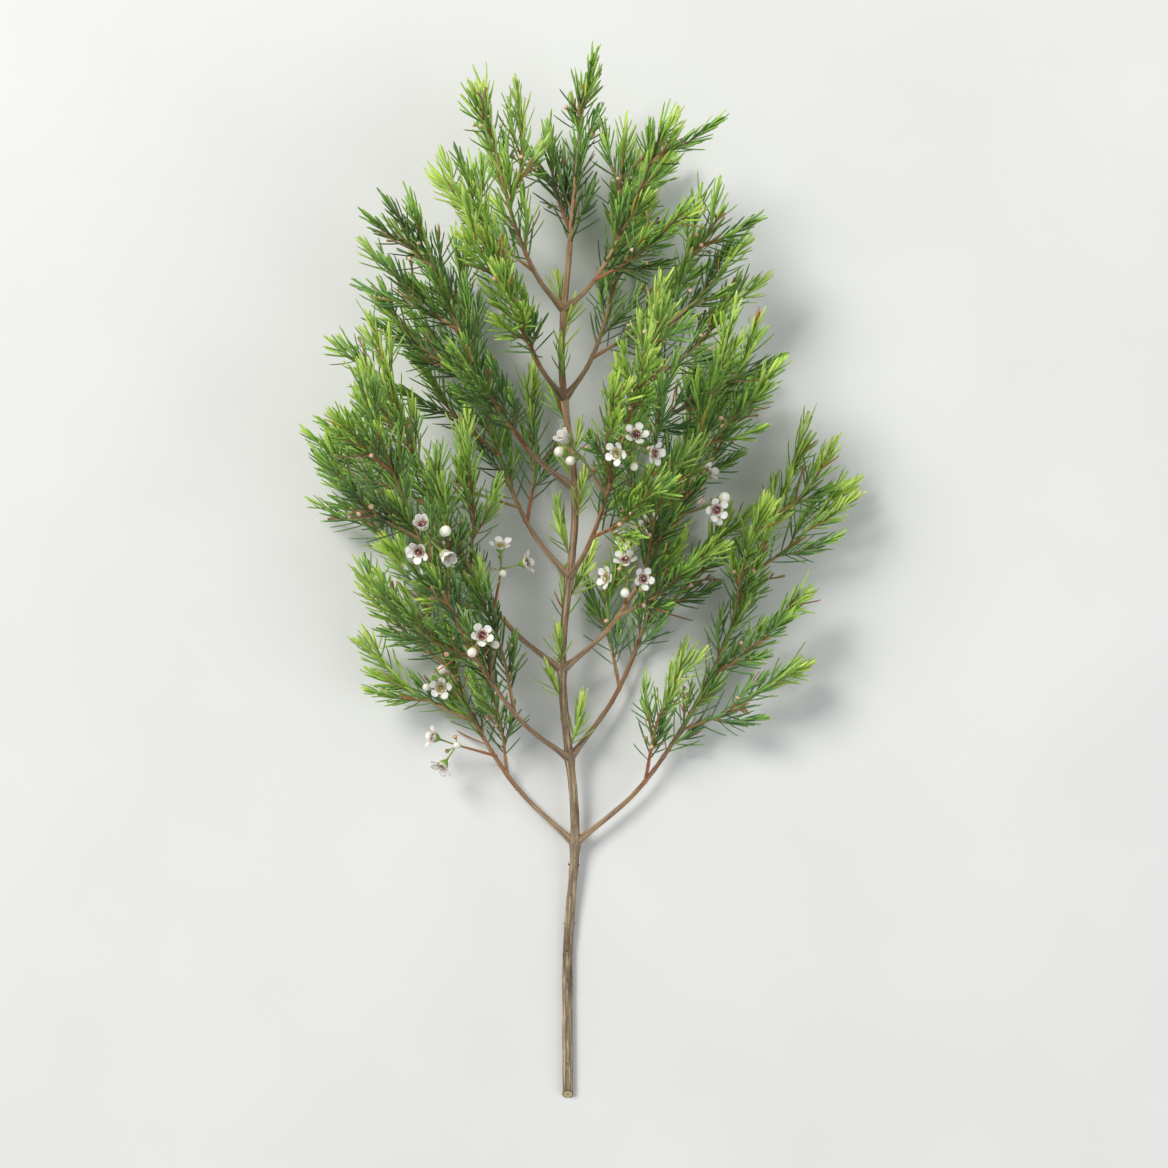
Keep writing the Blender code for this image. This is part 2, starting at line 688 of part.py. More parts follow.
def main():
    for thing in list(bpy.data.objects):
        bpy.data.objects.remove(thing)
    crowd = Crowd()
    axis = plan_axis()
    sprays = plan_sprays(axis, crowd)
    side_shoots = plan_side_shoots(sprays, crowd)
    heads, stalks = plan_heads(sprays, crowd)
    needles = plan_needles(sprays, side_shoots, crowd)

    build_woody_stem(axis, sprays)
    for spray in sprays:
        first = 0 if spray is sprays[-1] else WOODY_RUNS
        build_spray(spray, first, side_shoots[spray.owner], stalks[spray.owner], needles[spray.owner])
    for head in heads:
        build_head(head)
    open_blooms = [flower for head in heads for flower in head.flowers if flower.opening is not None]
    for number, flower in enumerate(open_blooms, 1):
        build_disc(flower.matrix, number)
    print(len(sprays), "sprays,", sum(map(len, side_shoots.values())), "side shoots,",
          sum(map(len, needles.values())), "needles,", len(heads), "heads,", len(open_blooms), "blooms")


main()
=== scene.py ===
# %% [markdown]
# A cut waxflower stem lies on a pale table. Its plain solids come in first, as a fixed frame. Every finer
# piece below grows along the same centre lines as the solids, so it lands exactly where its solid is and
# needs no fitting. All lengths are in metres, +Y runs from the cut end to the tip and +Z is up.

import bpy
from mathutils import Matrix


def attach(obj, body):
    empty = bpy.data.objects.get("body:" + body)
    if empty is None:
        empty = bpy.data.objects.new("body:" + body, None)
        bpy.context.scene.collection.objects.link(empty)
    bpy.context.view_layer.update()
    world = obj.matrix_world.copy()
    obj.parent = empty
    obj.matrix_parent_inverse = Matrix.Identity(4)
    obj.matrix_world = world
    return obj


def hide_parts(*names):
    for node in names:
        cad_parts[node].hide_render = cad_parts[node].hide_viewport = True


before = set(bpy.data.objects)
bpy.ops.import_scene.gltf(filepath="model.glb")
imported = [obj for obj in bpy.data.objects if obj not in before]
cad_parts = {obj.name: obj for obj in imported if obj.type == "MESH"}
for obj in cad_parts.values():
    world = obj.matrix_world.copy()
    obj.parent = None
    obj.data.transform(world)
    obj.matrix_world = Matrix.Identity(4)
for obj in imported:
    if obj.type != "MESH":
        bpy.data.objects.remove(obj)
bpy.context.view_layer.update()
print("solids:", len(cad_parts))

# %% Modules and directions
import math
import random

import bpy
import numpy as np
from mathutils import Matrix, Quaternion, Vector

X = Vector((1, 0, 0))
Y = Vector((0, 1, 0))
Z = Vector((0, 0, 1))
SEED = 11
scene = bpy.context.scene

# %% [markdown]
# A shoot is a growing line. It leaves its parent at a wide angle, turns in as it goes and levels off over the
# table. One could draw every line by hand as a curve, but a plant repeats one habit of growth, so a short
# rule with a fixed seed gives lines that belong together.

# %% Centre lines
GROWTH_STEPS = 6
TURN_RATE = 3.2
TWIG_FLOOR = 0.0045
FLOOR_ZONE = 0.018


def clamped(value):
    """A value kept between 0 and 1."""
    return min(max(value, 0.0), 1.0)


def between(first, last, share):
    """The value at a share of the way from one to another."""
    return first + (last - first) * share


def evenly(first, last, count):
    """Evenly spread values from one to another."""
    return [first + (last - first) * i / (count - 1) for i in range(count)]


def splayed(heading, away, angle):
    """A heading that is turned towards a way out by an angle."""
    return heading * math.cos(angle) + away * math.sin(angle)


def perpendicular(direction, angle):
    """A unit vector square to a direction, at an angle round it, with 0 sideways and 90 degrees up."""
    side = direction.cross(Z)
    side = X.copy() if side.length < 1e-6 else side.normalized()
    return splayed(side, side.cross(direction).normalized(), angle)


def smooth_line(knots, count):
    """Points evenly spread in parameter along a Catmull-Rom curve through the knots."""
    padded = [2 * knots[0] - knots[1], *knots, 2 * knots[-1] - knots[-2]]
    line = []
    for k in range(count):
        place = k / (count - 1) * (len(knots) - 1)
        i = min(int(place), len(knots) - 2)
        t = place - i
        a, b, c, d = padded[i : i + 4]
        bend = (2 * a - 5 * b + 4 * c - d) * t * t
        line.append(0.5 * (2 * b + (c - a) * t + bend + (3 * b - a - 3 * c + d) * t ** 3))
    return line


class Shoot:
    """A growing line: its points, the piece that it belongs to, and the way that it left its parent."""

    def __init__(self, points, owner, outward=None):
        self.points = points
        self.owner = owner
        self.outward = outward
        self.length = sum((b - a).length for a, b in zip(points, points[1:]))

    def at(self, share):
        """The point and the direction at a share of the length."""
        place = clamped(share) * (len(self.points) - 1)
        i = min(int(place), len(self.points) - 2)
        a, b = self.points[i], self.points[i + 1]
        return a.lerp(b, place - i), (b - a).normalized()

    def smoothed(self, count):
        """The same shoot, with its joints rounded off."""
        return Shoot(smooth_line(self.points, count), self.owner, self.outward)


def grow(start, heading, outward, length, spread, close, joints, floor=TWIG_FLOOR):
    """The joints of a shoot that leaves at an angle, turns in, and levels off over the table."""
    steps = joints * GROWTH_STEPS
    points = [start.copy()]
    for i in range(steps):
        angle = between(close, spread, math.exp(-TURN_RATE * (i + 0.5) / steps))
        direction = splayed(heading, outward, angle)
        if direction.z < 0:
            direction.z *= clamped((points[-1].z - floor) / FLOOR_ZONE)
        points.append(points[-1] + direction.normalized() * (length / steps))
    return points[::GROWTH_STEPS]


# %% Room between the shoots
CROWD_PITCH = 0.002


class Crowd:
    """Every ball along the lines planned so far, to find what a new piece would touch."""

    def __init__(self):
        self.centres = np.zeros((0, 3))
        self.radii = np.zeros(0)
        self.owners = np.zeros(0, int)
        self.names = {}

    def add(self, points, radius, owner):
        key = self.names.setdefault(owner, len(self.names))
        self.centres = np.vstack([self.centres, np.array(points)])
        self.radii = np.append(self.radii, np.full(len(points), radius))
        self.owners = np.append(self.owners, np.full(len(points), key))

    def room(self, points, skip=None):
        """The smallest gap between these points and the balls of every owner but the one to skip."""
        kept = self.owners != self.names.get(skip, -1)
        apart = np.linalg.norm(np.array(points)[:, None] - self.centres[None, kept], axis=2)
        return float((apart - self.radii[None, kept]).min())


def spaced(shoot, start=0.0):
    """Points along a shoot from a share of its length on, a fixed pitch apart."""
    count = max(2, int(shoot.length * (1.0 - start) / CROWD_PITCH) + 1)
    return [shoot.at(share)[0] for share in evenly(start, 1.0, count)]


# %% [markdown]
# The woody stem lies flat for its first eight centimetres and is then held up by the foliage under it. Its
# own line is a smooth curve through seven points: three would be too stiff, and a straight line would look
# turned on a lathe.

# %% The line of the woody stem
AXIS_LENGTH = 0.455
BUTT_RADIUS = 0.0028
AXIS_TIP_RADIUS = 0.0015
BUTT_STRAIGHT = 0.080
AXIS_SIDES = 8
AXIS_POINTS = 61
AXIS_MARKS = 240
FOOTPRINT_MIDDLE = Vector((0.0088, 0.2793, 0.0))
LYING_HEIGHT = BUTT_RADIUS * math.cos(math.pi / AXIS_SIDES)
AXIS_KNOTS = (
    (0.000, 0.000, LYING_HEIGHT), (0.000, BUTT_STRAIGHT, LYING_HEIGHT), (0.004, 0.150, 0.009),
    (-0.003, 0.235, 0.022), (0.004, 0.320, 0.032), (-0.003, 0.395, 0.037), (0.001, AXIS_LENGTH, 0.038))

axis_line = smooth_line([Vector(knot) for knot in AXIS_KNOTS], AXIS_POINTS)
for point in axis_line:
    point.z = max(point.z, LYING_HEIGHT)
axis = Shoot(axis_line, "woody_stem")


def axis_at(along):
    """The point and the direction where the stem has run this far along Y."""
    shares = [i / AXIS_MARKS for i in range(AXIS_MARKS + 1)]
    return axis.at(min(shares, key=lambda share: abs(axis.at(share)[0].y - along)))


print("woody stem, mm:", round(1000 * axis.length))

# %% [markdown]
# Sprays stand in opposite pairs at seven nodes, each pair turned about a quarter from the last, and a leader
# carries on from the tip. Each spray tries a few turns and takes the one with most room, which is how a
# branch fills the light around it.

# %% The lines of the sprays
FIRST_NODE = 0.138
LAST_NODE = 0.425
LONGEST_SPRAY = 0.265
SHORTEST_SPRAY = 0.120
SPRAY_SPREAD = math.radians(58)
SPRAY_CLOSE = math.radians(14)
SPRAY_TURNS = ((12, 172), (112, -27), (6, 176), (66, 206), (-4, 172), (110, -28), (20, 150))
SPRAY_TRIES = (-16, -8, 0, 8, 16)
SPRAY_RUNS = 6
UP_SQUASH = 0.8
WOODY_RUNS = 1
WOODY_RADIUS = 0.0016
TWIG_RADIUS = 0.00125
LEADER_LENGTH = 0.085
LEADER_SPREAD = 0.0
LEADER_CLOSE = 0.06
LEADER_TURN = 1.2
SHOOT_RUNS = 2


def plan_sprays():
    """Leading lines of the sprays: opposite pairs, each pair turned from the last, and the leader."""
    dice = random.Random(SEED)
    sprays = []
    crowd.add(spaced(axis), BUTT_RADIUS, axis.owner)
    for node, turns in enumerate(SPRAY_TURNS):
        share = node / (len(SPRAY_TURNS) - 1)
        start, heading = axis_at(between(FIRST_NODE, LAST_NODE, share))
        for around in turns:
            length = between(LONGEST_SPRAY, SHORTEST_SPRAY, share) * dice.uniform(0.93, 1.07)
            ways = []
            for turn in SPRAY_TRIES:
                outward = perpendicular(heading, math.radians(around + turn))
                outward.z *= UP_SQUASH if outward.z > 0 else 1.0
                outward.normalize()
                points = grow(start, heading, outward, length, SPRAY_SPREAD, SPRAY_CLOSE, SPRAY_RUNS)
                ways.append(Shoot(points, f"spray_{len(sprays) + 1:02d}", outward))
            spray = max(ways, key=lambda way: crowd.room(way.points[WOODY_RUNS + 1 :]))
            sprays.append(spray)
            foot = Shoot(spray.points[: WOODY_RUNS + 1], axis.owner)
            crowd.add(spaced(foot), WOODY_RADIUS, axis.owner)
            crowd.add(spaced(spray, WOODY_RUNS / SPRAY_RUNS), TWIG_RADIUS, spray.owner)
    start, heading = axis.at(1.0)
    outward = perpendicular(heading, LEADER_TURN)
    points = grow(start, heading, outward, LEADER_LENGTH, LEADER_SPREAD, LEADER_CLOSE, SHOOT_RUNS)
    leader = Shoot(points, f"spray_{len(sprays) + 1:02d}", outward)
    crowd.add(spaced(leader), TWIG_RADIUS, leader.owner)
    return [*sprays, leader]


crowd = Crowd()
sprays = plan_sprays()
print("sprays:", len(sprays))

# %% The lines of the side shoots
SHOOT_PITCH = 0.031
SHOOT_START = 0.20
SHOOT_END = 0.80
SHOOT_SHARE = 0.72
LEADER_SHOOT_START = 0.12
SHOOT_LENGTH = 0.072
SHOOT_LEAST = 0.003
SHOOT_SPREAD = math.radians(52)
SHOOT_CLOSE = math.radians(13)
SHOOT_WAYS = 8
SHOOT_CLEAR_START = 0.15
CLEARANCE = 0.0008


def plan_side_shoots():
    """Side shoots along each spray, each sent round it to where there is most room."""
    shoots = {spray.owner: [] for spray in sprays}
    for spray in sprays:
        first = LEADER_SHOOT_START if spray is sprays[-1] else SHOOT_START
        count = max(2, int(spray.length * (SHOOT_END - first) / SHOOT_PITCH) + 1)
        for i, share in enumerate(evenly(first, SHOOT_END, count)):
            start, heading = spray.at(share)
            length = min(SHOOT_LENGTH, spray.length * (1.0 - share) * SHOOT_SHARE + SHOOT_LEAST)
            ways = []
            for k in range(SHOOT_WAYS):
                outward = perpendicular(heading, 2 * math.pi * (k + 0.5 * (i % 2)) / SHOOT_WAYS)
                points = grow(start, heading, outward, length, SHOOT_SPREAD, SHOOT_CLOSE, SHOOT_RUNS)
                way = Shoot(points, spray.owner, outward)
                if crowd.room(spaced(way), spray.owner) > TWIG_RADIUS + CLEARANCE:
                    ways.append(way)
            if ways:
                shoot = max(ways, key=lambda way: crowd.room(spaced(way, 0.5)))
                shoots[spray.owner].append(shoot)
                crowd.add(spaced(shoot, SHOOT_CLEAR_START), TWIG_RADIUS, spray.owner)
    return shoots


side_shoots = plan_side_shoots()
print("side shoots:", sum(map(len, side_shoots.values())))

# %% [markdown]
# Flowers come in loose heads of three or four on short stalks, along the lower part of the sprays. Each
# flower keeps a matrix at the rim of its cup, so any finer part of it can be modelled once, upright at the
# origin, and then be set in its place.

# %% The places of the flowers
HEAD_KINDS = ((2, 1), (1, 2), (3, 1), (1, 2), (2, 1))
HEAD_LIKES_UP = 0.006
BLOOM_OPENINGS = (1.0, 0.82, 1.0, 0.35)
BUD_SHARES = (0.72, 1.0, 0.86)
HUB_LENGTH = 0.0030
HUB_RADIUS = 0.0011
PEDICEL_RADIUS = 0.0006
BLOOM_PEDICEL = 0.0105
BUD_PEDICEL = 0.0062
PEDICEL_SPREAD = math.radians(40)
LONE_BLOOM_SPREAD = math.radians(14)
CUP_HEIGHT = 0.0042
CUP_RADIUS = 0.0028
CUP_DEPTH = 0.0010
PETAL_COUNT = 5
PETAL_LENGTH = 0.0042
PETAL_WIDTH = 0.0045
PETAL_LIFT = 0.0009
PETAL_REACH = 0.6
PETAL_UPRIGHT = math.radians(75)
PETAL_OPEN = math.radians(12)
BUD_RADIUS = 0.0028
SEAT_GAP = 0.0003
BUD_BALL = (0.55, 1.1)
CUP_BALL = 1.2
PETAL_BALL = 0.6


def petal_lean(opening):
    """How far a petal runs out and up for each unit of its length, from nearly shut at 0 to open at 1."""
    lean = between(PETAL_UPRIGHT, PETAL_OPEN, opening)
    return math.cos(lean), math.sin(lean)


class Flower:
    """A bloom or a bud: its place and turn at the rim of its cup, its pedicel, opening and size."""

    def __init__(self, matrix, pedicel, opening, size):
        self.matrix = matrix
        self.pedicel = pedicel
        self.opening = opening
        self.size = size

    def balls(self):
        """Balls that fill the flower: its pedicel and cup, then its petals or its bud."""
        filled = [(Vector((0, 0, -CUP_HEIGHT - self.pedicel * k / 3)), PEDICEL_RADIUS) for k in range(3)]
        if self.opening is None:
            middle, radius = BUD_BALL
            filled.append((Vector((0, 0, middle * self.size)), radius * self.size))
        else:
            out, up = petal_lean(self.opening)
            filled.append((Vector((0, 0, -CUP_DEPTH)), CUP_RADIUS * CUP_BALL))
            far = Vector((CUP_RADIUS + PETAL_REACH * PETAL_LENGTH * out, 0,
                          PETAL_REACH * PETAL_LENGTH * up + PETAL_LIFT))
            for k in range(PETAL_COUNT):
                turn = Matrix.Rotation(math.pi * (2 * k + 1) / PETAL_COUNT, 3, "Z")
                filled.append((turn @ far, PETAL_WIDTH * PETAL_BALL))
        return [(self.matrix @ place, radius) for place, radius in filled]


class Head:
    """A flower head: its stalk, where it is seated on it, its flowers, and the room that it has."""

    def __init__(self, stalk, facing, index):
        tip, self.heading = stalk.at(1.0)
        self.stalk = stalk
        self.seat = tip + self.heading * SEAT_GAP
        self.hub_end = self.seat + self.heading * HUB_LENGTH
        self.name = f"flower_head_{index + 1:02d}"
        blooms, buds = HEAD_KINDS[index % len(HEAD_KINDS)]
        turn = facing.to_track_quat("Z", "Y")
        self.flowers = []
        for i in range(blooms + buds):
            around = 2 * math.pi * i / (blooms + buds) + index
            spread = LONE_BLOOM_SPREAD if i < blooms == 1 else PEDICEL_SPREAD
            rotation = turn @ Quaternion(Vector((-math.sin(around), math.cos(around), 0)), spread)
            pedicel = BLOOM_PEDICEL if i < blooms else BUD_PEDICEL
            rim = self.hub_end - self.heading * HUB_RADIUS / 2 + (rotation @ Z) * (pedicel + CUP_HEIGHT)
            matrix = Matrix.Translation(rim) @ rotation.to_matrix().to_4x4()
            opening = BLOOM_OPENINGS[(index + 2 * i) % len(BLOOM_OPENINGS)] if i < blooms else None
            size = BUD_RADIUS * BUD_SHARES[(index + i) % len(BUD_SHARES)]
            self.flowers.append(Flower(matrix, pedicel, opening, size))
        self.room = min(min(crowd.room([place]), place.z) - radius for place, radius in self.balls())
        self.score = self.room + HEAD_LIKES_UP * stalk.outward.z

    def balls(self):
        return [ball for flower in self.flowers for ball in flower.balls()]


# %% Choose where the heads stand
HEAD_COUNT = 14
HEAD_REACH = 0.36
HEAD_SHARES = (0.24, 0.36, 0.48, 0.60)
HEAD_WAYS = 10
FACING_UP = 0.55
FACING_AHEAD = 0.25
STALK_LENGTH = 0.022
STALK_RADIUS = 0.0010
STALK_SPREAD = math.radians(66)
STALK_CLOSE = math.radians(38)


def plan_heads():
    """Flower heads on short stalks along the lower part of the sprays, sent to where there is room."""
    chances = [(spray, share) for share in HEAD_SHARES for spray in sprays[:-1]]
    random.Random(SEED + 1).shuffle(chances)
    heads = []
    for spray, share in chances:
        start, heading = spray.at(share)
        if len(heads) == HEAD_COUNT or start.y > HEAD_REACH:
            continue
        ways = []
        for k in range(HEAD_WAYS):
            outward = perpendicular(heading, 2 * math.pi * k / HEAD_WAYS)
            points = grow(start, heading, outward, STALK_LENGTH, STALK_SPREAD, STALK_CLOSE, 1)
            facing = (outward + FACING_UP * Z + FACING_AHEAD * heading).normalized()
            ways.append(Head(Shoot(points, spray.owner, outward), facing, len(heads)))
        ways = [head for head in ways if head.room > CLEARANCE]
        if ways:
            best = max(ways, key=lambda head: head.score)
            heads.append(best)
            crowd.add(spaced(best.stalk), STALK_RADIUS, spray.owner)
            for place, radius in best.balls():
                crowd.add([place], radius, best.name)
    return heads


heads = plan_heads()
open_blooms = [flower for head in heads for flower in head.flowers if flower.opening is not None]
print("flower heads:", len(heads), "open blooms:", len(open_blooms))

# %% [markdown]
# Node trees are built in code here, both for shapes and for finishes. One helper adds a node, sets its
# options, fills its inputs with values or with links, and gives back its output, so that each tree below
# reads from top to bottom. A group's inputs are named once, with their first values.

# %% A helper for node trees
class Tree:
    """A node tree, written from top to bottom: each call adds nodes and gives back an output of the last."""

    def __init__(self, tree):
        self.tree = tree

    def put(self, kind, inputs=None, output=0, **options):
        """One node, with its options set and its inputs filled with values or with links."""
        node = self.tree.nodes.new(kind)
        for name, value in options.items():
            setattr(node, name, value)
        for key, value in (inputs or {}).items():
            if isinstance(value, bpy.types.NodeSocket):
                self.tree.links.new(value, node.inputs[key])
            else:
                node.inputs[key].default_value = value
        return node.outputs[output] if node.outputs else None

    def worked(self, operation, *values):
        """One sum of one value or more."""
        return self.put("ShaderNodeMath", dict(enumerate(values)), operation=operation)

    def limited(self, value, low, high, first=0.0, last=1.0):
        """A value moved from one range to another, and kept inside it."""
        return self.put("ShaderNodeMapRange",
                        {"Value": value, "From Min": low, "From Max": high, "To Min": first, "To Max": last})

    def along_tube(self, ring, run, stretch):
        """Where a pattern is read on a tube: by the place round it, and by the stretched run along it."""
        rise = self.put("ShaderNodeCombineXYZ", {"Z": self.worked("MULTIPLY", run, stretch)})
        return self.put("ShaderNodeVectorMath", {0: ring, 1: rise}, operation="ADD")

    def attribute(self, name, kind="FLOAT"):
        """The value of a named attribute, in a geometry tree."""
        return self.put("GeometryNodeInputNamedAttribute", {"Name": name}, data_type=kind)

    def stored(self, shape, name, value, kind="FLOAT"):
        """The shape with a value stored at each of its points."""
        return self.put("GeometryNodeStoreNamedAttribute", {"Geometry": shape, "Name": name, "Value": value},
                        data_type=kind, domain="POINT")

    def random(self, low, high, seed):
        """A random value for each point, which is whole where its limits are."""
        kind, first, output = ("INT", 4, 2) if isinstance(high, int) else ("FLOAT", 2, 1)
        return self.put("FunctionNodeRandomValue", {first: low, first + 1: high, "Seed": seed},
                        output=output, data_type=kind)

    def shake(self, spread, seed):
        """A random value for each point, up to a spread to either side of 0."""
        return self.random(self.worked("MULTIPLY", spread, -1.0), spread, seed)

    def end(self, shape, finish):
        """Makes the instances real, sets the finish and closes the tree."""
        shape = self.put("GeometryNodeRealizeInstances", {"Geometry": shape})
        shape = self.put("GeometryNodeSetMaterial", {"Geometry": shape, "Material": finish})
        self.put("NodeGroupOutput", {"Mesh": shape})
        return self.tree


def open_group(name, kind, output, inputs):
    """A node group with one output and named inputs, as a tree and its inputs by name."""
    group = bpy.data.node_groups.new(name, kind)
    group.interface.new_socket(output[0], in_out="OUTPUT", socket_type=f"NodeSocket{output[1]}")
    for label, value in inputs.items():
        plain = {int: "Int", float: "Float"}.get(type(value))
        socket = group.interface.new_socket(label, in_out="INPUT", socket_type=f"NodeSocket{plain or value}")
        if plain:
            socket.default_value = value
    given = group.nodes.new("NodeGroupInput").outputs
    return Tree(group), {label: given[label] for label in inputs}


def run_tree(tree, source, values):
    """Runs a geometry tree on a source mesh and returns the result as a plain mesh."""
    holder = bpy.data.objects.new("holder", source)
    scene.collection.objects.link(holder)
    modifier = holder.modifiers.new("tree", "NODES")
    modifier.node_group = tree
    for item in tree.interface.items_tree:
        if item.item_type == "SOCKET" and item.in_out == "INPUT" and item.name in values:
            modifier[item.identifier] = values[item.name]
    graph = bpy.context.evaluated_depsgraph_get()
    made = bpy.data.meshes.new_from_object(holder.evaluated_get(graph))
    holder.modifiers.remove(modifier)
    bpy.data.objects.remove(holder)
    bpy.data.meshes.remove(source)
    return made


# %% [markdown]
# Three effects turn up on several finishes: soft mottling, the fine oil dots that all waxflower leaves and
# cups carry, and fibres that run along bark. Each is one node group, built once and placed in each material
# with its own scale.

# %% Shared effects
def build_mottling():
    tree, given = open_group("mottling", "ShaderNodeTree", ("Value", "Float"),
                             {"Vector": "Vector", "Scale": 60.0})
    noise = tree.put("ShaderNodeTexNoise", {**given, "Detail": 3.0})
    tree.put("NodeGroupOutput", {"Value": tree.limited(noise, 0.3, 0.7)})
    return tree.tree


def build_oil_dots():
    tree, given = open_group("oil dots", "ShaderNodeTree", ("Mask", "Float"),
                             {"Vector": "Vector", "Scale": 1600.0})
    cells = tree.put("ShaderNodeTexVoronoi", given)
    tree.put("NodeGroupOutput", {"Mask": tree.limited(cells, 0.18, 0.34, 1.0, 0.0)})
    return tree.tree


def build_fibres():
    tree, given = open_group("fibres", "ShaderNodeTree", ("Value", "Float"),
                             {"Ring": "Vector", "Run": 0.0, "Stretch": 60.0, "Scale": 3.0})
    place = tree.along_tube(given["Ring"], given["Run"], given["Stretch"])
    noise = tree.put("ShaderNodeTexNoise", {"Vector": place, "Scale": given["Scale"], "Detail": 4.0})
    tree.put("NodeGroupOutput", {"Value": tree.limited(noise, 0.32, 0.68)})
    return tree.tree


MOTTLING = build_mottling()
OIL_DOTS = build_oil_dots()
FIBRES = build_fibres()
print("shared effects:", MOTTLING.name, OIL_DOTS.name, FIBRES.name)

# %% [markdown]
# Colours are read from the plant as screen values from 0 to 255. A shader wants linear light, so each is
# turned once, here. A finish starts from a ramp through several of them, because no living surface has only
# one, and is then tinted where a mask says so.

# %% A helper for finishes
def screen(red, green, blue):
    """A screen colour as linear light."""
    parts = [v / 255 for v in (red, green, blue)]
    return tuple(v / 12.92 if v <= 0.04045 else ((v + 0.055) / 1.055) ** 2.4 for v in parts) + (1.0,)


class Finish(Tree):
    """The tree of a material, with the values that are the same all over it set on its shader."""

    def __init__(self, name, **constants):
        self.material = bpy.data.materials.new(name)
        self.material.use_nodes = True
        super().__init__(self.material.node_tree)
        self.shader = self.tree.nodes["Principled BSDF"]
        for socket, value in constants.items():
            self.shader.inputs[socket.replace("_", " ")].default_value = value

    def from_mesh(self, name, output="Fac"):
        """What the mesh stores under a name."""
        return self.put("ShaderNodeAttribute", output=output, attribute_name=name)

    def effect(self, group, scale, **inputs):
        """A shared effect at its own scale, on the piece's own coordinates where it isn't told others."""
        if not inputs:
            inputs["Vector"] = self.put("ShaderNodeTexCoord", output="Object")
        return self.put("ShaderNodeGroup", {**inputs, "Scale": scale}, node_tree=group)

    def ramp(self, value, *stops):
        """A colour that runs through (place, red, green, blue) stops."""
        colour = self.put("ShaderNodeValToRGB", {"Fac": value})
        points = colour.node.color_ramp.elements
        while len(points) < len(stops):
            points.new(1.0)
        for point, (place, *shade) in zip(points, stops):
            point.position = place
            point.color = screen(*shade)
        return colour

    def blended(self, share, first, second, mode="MIX"):
        """Two colours mixed by a share."""
        pair = [screen(*colour) if isinstance(colour, tuple) else colour for colour in (first, second)]
        return self.put("ShaderNodeMix", {0: share, 6: pair[0], 7: pair[1]}, output=2,
                        data_type="RGBA", blend_type=mode)

    def tinted(self, colour, tint, mask, shares, limits=(0.0, 1.0)):
        """A colour that turns to a tint, by a first share where a mask is low and a last where it is high."""
        return self.blended(self.limited(mask, *limits, *shares), colour, tint)

    def shaken(self, value, mask, down, up):
        """A value that a mask moves down and up."""
        return self.worked("ADD", value, self.limited(mask, 0.0, 1.0, down, up))

    def done(self, colour, mask, roughness, height, depth, strength):
        """Joins the colour, the roughness that follows a mask, and the relief to the shader."""
        rough = self.limited(mask, 0.0, 1.0, *roughness)
        bump = self.put("ShaderNodeBump", {"Height": height, "Distance": depth, "Strength": strength})
        for socket, value in (("Base Color", colour), ("Roughness", rough), ("Normal", bump)):
            self.tree.links.new(value, self.shader.inputs[socket])
        return self.material


print("helper:", Finish.__name__)

# %% [markdown]
# Bark changes with age. The tips of the twigs are still green, then turn a warm orange tan with red, and the
# main stem is a dull grey tan with loose fibres. Every tube stores its age, its warmth, the run along it and
# the place round it, so one finish serves all of them and its fibres always follow the shoot.

# %% Bark
def build_bark():
    bark = Finish("stem_bark")
    tube = {"Ring": bark.from_mesh("ring", "Vector"), "Run": bark.from_mesh("run")}
    coarse = bark.effect(FIBRES, 2.2, Stretch=26.0, **tube)
    fine = bark.effect(FIBRES, 6.5, Stretch=90.0, **tube)
    patches = bark.effect(MOTTLING, 55.0)
    age = bark.shaken(bark.from_mesh("age"), patches, -0.12, 0.12)
    cool = bark.ramp(age, (0.00, 160, 180, 88), (0.20, 194, 184, 112), (0.42, 214, 184, 132),
                     (0.66, 198, 164, 124), (0.84, 170, 152, 126), (1.00, 156, 144, 122))
    warm = bark.ramp(age, (0.00, 176, 160, 84), (0.20, 210, 158, 108), (0.42, 204, 136, 102),
                     (0.66, 184, 124, 94), (0.84, 154, 116, 90), (1.00, 134, 108, 84))
    tone = bark.shaken(bark.from_mesh("tone"), patches, -0.35, 0.35)
    colour = bark.tinted(cool, warm, tone, (0.0, 1.0), (0.25, 0.75))
    streaks = bark.ramp(coarse, (0.0, 166, 152, 140), (0.5, 218, 214, 208), (1.0, 255, 252, 244))
    colour = bark.blended(1.0, colour, streaks, "MULTIPLY")
    cracks = bark.worked("MULTIPLY", bark.limited(fine, 0.0, 0.40, 0.75, 0.0),
                         bark.limited(age, 0.1, 0.9, 0.15, 1.0))
    colour = bark.blended(cracks, colour, (84, 60, 44))
    strips = bark.worked("MULTIPLY", bark.limited(coarse, 0.62, 0.92), bark.limited(age, 0.5, 0.9, 0.0, 0.75))
    colour = bark.blended(strips, colour, (206, 186, 152))
    height = bark.worked("ADD", bark.worked("MULTIPLY", coarse, 0.8), bark.worked("MULTIPLY", fine, 0.6))
    return bark.done(colour, fine, (0.88, 0.60), height, 0.00030, 1.0)


def build_cut_wood():
    """Cream wood with fine growth rings round a brown pith, darker where the bark begins."""
    wood = Finish("cut_wood")
    grain = wood.effect(MOTTLING, 900.0)
    out = wood.shaken(wood.from_mesh("along"), grain, -0.05, 0.05)
    colour = wood.ramp(out, (0.00, 122, 88, 58), (0.14, 150, 112, 74), (0.24, 224, 204, 160),
                       (0.55, 212, 188, 140), (0.80, 222, 202, 158), (0.93, 170, 138, 96),
                       (1.00, 110, 84, 62))
    waves = wood.worked("SINE", wood.worked("MULTIPLY", out, 38.0))
    colour = wood.tinted(colour, (184, 152, 104), waves, (0.0, 0.35), (0.2, 1.0))
    return wood.done(colour, grain, (0.62, 0.82), grain, 0.00006, 0.7)


BARK = build_bark()
CUT_WOOD = build_cut_wood()
print("finishes:", BARK.name, CUT_WOOD.name)

